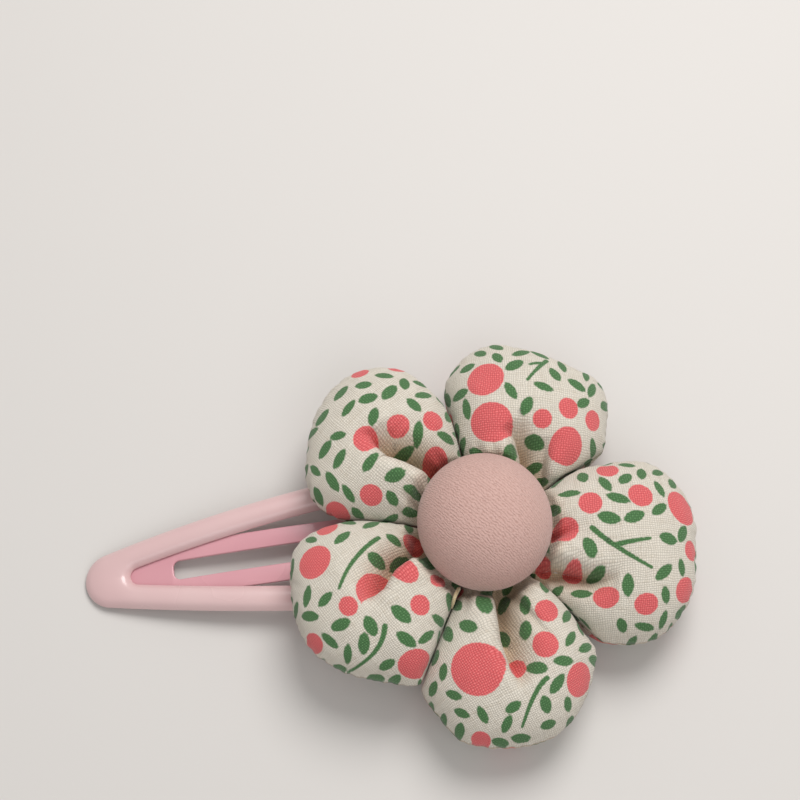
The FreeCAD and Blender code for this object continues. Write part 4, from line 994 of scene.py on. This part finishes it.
def makeThreads():
    x0, y0 = flower["centre"]
    circle = np.linspace(0, 2 * math.pi, 120, endpoint=False)
    runs = []
    for rise in threadSet["ringRise"]:
        wave = 0.07 * np.sin(circle * 7 + rise * 9)
        points = np.stack([x0 + (threadSet["ring"] - np.abs(wave)) * np.cos(circle),
                           y0 + (threadSet["ring"] - np.abs(wave)) * np.sin(circle), rise + wave], 1)
        runs.append({"points": points, "closed": True, "side": (0, 0, 1)})
    bearing, near, far, high = threadSet["tack"]
    along = np.linspace(0, 1, 30)
    out = near + (far - near) * along
    tack = np.stack([x0 + out * math.cos(math.radians(bearing)), y0 + out * math.sin(math.radians(bearing)),
                     high + 1.2 * np.sin(along * math.pi * 0.8) - 1.4 * along**6], 1)
    runs.append({"points": tack, "side": (0, 0, 1)})
    gather = twisted("gatheringThread", runs, threadSet["radius"], 3, threadSet["twist"])
    wear(gather, "thread", "clip")
    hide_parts("gathering_thread")
    arc = np.linspace(0, math.pi, 24)
    legs, top, low = threadSet["legs"], threadSet["legTop"], threadSet["low"]
    loop = [(x0, y0 + legs, z) for z in np.linspace(low, top, 24)[:-1]]
    loop += [(x0, y0 + legs * math.cos(t), top + legs * math.sin(t)) for t in arc]
    loop += [(x0, y0 - legs, z) for z in np.linspace(top, low, 24)[1:]]
    stitch = [(x0 + 0.05 * math.sin(t * 6), y0 + legs * 1.25 * t,
               low - 0.06 + 0.2 * t**4) for t in np.linspace(-1, 1, 30)]
    turn = np.linspace(0, 2 * math.pi, 28, endpoint=False)
    knot = np.stack([x0 + 0.36 * np.cos(turn), y0 + 0.36 * np.sin(turn), low - 0.02 + 0.1 * np.sin(2 * turn)], 1)
    runs = [{"points": loop, "side": (1, 0, 0)}, {"points": stitch, "side": (1, 0, 0)},
            {"points": knot, "closed": True, "side": (0, 0, 1)}]
    sewing = twisted("buttonThread", runs, 0.26, 3, threadSet["twist"])
    wear(sewing, "thread", "clip")
    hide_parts("button_thread")


# clip
clipShape = {"tip": -41.8, "side": 3.4, "archTop": 38.0, "archMiddle": -236.7, "arch": 240.0,
             "tongueStart": 3.0, "tongueEnd": 61.0, "tongueWide": 7.7, "tongueGap": 0.1, "tongueThick": 0.6,
             "tongueCorner": 3.0,
             "slotStart": 12.4, "slotEnd": 46.0, "slotWide": 2.7, "slotCorner": 0.9, "bend": 52.0,
             "bendFrom": 1.2, "bendTo": -3.0, "rivet": 57.4, "hole": 1.26, "edge": 0.16}


# a flat strip along X with rounded corners, in millimetres from the nose
def roundedStrip(name, start, end, wide, corner, segments):
    clearSelection()
    bpy.ops.mesh.primitive_plane_add(size=1, location=((start + end) / 2, 0, 0))
    strip = bpy.context.object
    strip.name = name
    strip.scale = (end - start, wide, 1)
    settle(strip)
    openMesh(strip)
    bpy.ops.mesh.bevel(affect="VERTICES", offset=corner, segments=segments)
    closeMesh()
    return strip


def makeTongue():
    shape = clipShape
    strip = roundedStrip("clipTongue", shape["tongueStart"], shape["tongueEnd"], shape["tongueWide"],
                         shape["tongueCorner"], 10)
    slot = roundedStrip("slotTool", shape["slotStart"], shape["slotEnd"], shape["slotWide"], shape["slotCorner"],
                        6)
    bpy.ops.mesh.primitive_cylinder_add(vertices=40, radius=shape["hole"], depth=4,
                                        location=(shape["rivet"], 0, 0))
    hole = bpy.context.object
    for flatPiece, thick in ((strip, shape["tongueThick"]), (slot, 4.0)):
        applyModifier(flatPiece, "SOLIDIFY", thickness=thick, offset=0)
    for tool in (slot, hole):
        pick(strip)
        cutter = strip.modifiers.new("cut", "BOOLEAN")
        cutter.object, cutter.operation, cutter.solver = tool, "DIFFERENCE", "EXACT"
        bpy.ops.object.modifier_apply(modifier=cutter.name)
        bpy.data.objects.remove(tool)
    applyModifier(strip, "BEVEL", width=shape["edge"], segments=3, limit_method="ANGLE",
                  angle_limit=math.radians(50))
    openMesh(strip)
    for cut in np.arange(shape["tongueStart"] + 1, shape["tongueEnd"] - 0.5, 1.0):
        bpy.ops.mesh.select_all(action="SELECT")
        bpy.ops.mesh.bisect(plane_co=(float(cut), 0, 0), plane_no=(1, 0, 0))
    closeMesh()
    places = readPlaces(strip)
    level = shape["arch"] - shape["tongueGap"] - shape["tongueThick"] / 2
    reach = level + places[:, 2]
    lean = (places[:, 0] - shape["archTop"]) / level
    places = np.column_stack([shape["tip"] + shape["archTop"] + reach * np.sin(lean),
                              shape["side"] + places[:, 1], shape["archMiddle"] + reach * np.cos(lean)])
    writePlaces(strip, places * mm)
    pick(strip)
    bpy.ops.object.shade_smooth_by_angle(angle=math.radians(40))
    # painted shade: the tongue wears a darker, more saturated copy of the frame's pink
    wear(strip, "tongue_enamel", None)
    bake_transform(strip)
    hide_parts("clip_tongue", "clip_tongue_root")


band = {"outer": (3.9, 3.9, 51.4, 10.6, 275.0), "opening": (7.6, 1.2, 51.4, 6.8, 271.2), "high": 1.2,
        "sag": 0.62, "crown": 2.2, "fine": 0.16, "lapEnd": (4.2, 6.0)}


# how far inside a teardrop outline each place lies: two round ends joined by bowed arms
def teardropDepth(flat, noseAt, noseRound, endAt, endRound, bow):
    span = endAt - noseAt
    bowAt = noseAt + ((bow - noseRound) ** 2 - (bow - endRound) ** 2 + span**2) / (2 * span)
    bowSide = -math.sqrt((bow - noseRound) ** 2 - (bowAt - noseAt) ** 2)
    x, y = flat[:, 0], np.abs(flat[:, 1])
    turn = np.arctan2(y - bowSide, x - bowAt)
    depth = bow - np.hypot(x - bowAt, y - bowSide)
    depth = np.where(turn > math.atan2(-bowSide, noseAt - bowAt), noseRound - np.hypot(x - noseAt, y), depth)
    return np.where(turn < math.atan2(-bowSide, endAt - bowAt), endRound - np.hypot(x - endAt, y), depth)


# the stamped band is highest along its middle and falls away to both rolled edges
def makeFrame():
    clearSelection()
    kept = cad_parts["clip_frame"]
    piece = bpy.data.objects.new("clipFrame", kept.data.copy())
    bpy.context.collection.objects.link(piece)
    piece.data.transform(kept.matrix_world)
    openMesh(piece)
    bpy.ops.mesh.remove_doubles(threshold=0.001 * mm)
    closeMesh()
    applyModifier(piece, "REMESH", mode="VOXEL", voxel_size=band["fine"] * mm)
    applyModifier(piece, "SMOOTH", factor=0.5, iterations=6)
    places = readPlaces(piece) / mm
    flat = places[:, :2] - np.array([clipShape["tip"], clipShape["side"]])
    inside, outside = teardropDepth(flat, *band["outer"]), -teardropDepth(flat, *band["opening"])
    across = np.clip(inside / np.maximum(inside + outside, 0.1), 0, 1)
    high = np.hypot(flat[:, 0] - clipShape["archTop"], places[:, 2] - clipShape["archMiddle"]) - clipShape["arch"]
    free = smoothStep(np.hypot(flat[:, 0] - clipShape["rivet"], flat[:, 1]), *band["lapEnd"])
    places[:, 2] -= band["sag"] * np.abs(2 * across - 1) ** band["crown"] * np.clip(high / band["high"], 0,
        1) * free
    writePlaces(piece, places * mm)
    smooth(piece)
    wear(piece, "clip_enamel", "clip")
    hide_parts("clip_frame")


makeButtonCover()
makeFelt()
makeThreads()
print("button, felt and threads made")
makeTongue()
makeFrame()
print("clip made")

cadFinish = {"clip_rivet": "rivet_steel", "glue_spots": "glue", "button_shell": "button_metal",
             "button_back_plate": "button_metal", "button_shank": "rivet_steel"}
for nodeName, slotName in cadFinish.items():
    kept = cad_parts[nodeName]
    kept.data.materials.clear()
    kept.data.materials.append(finish[slotName])
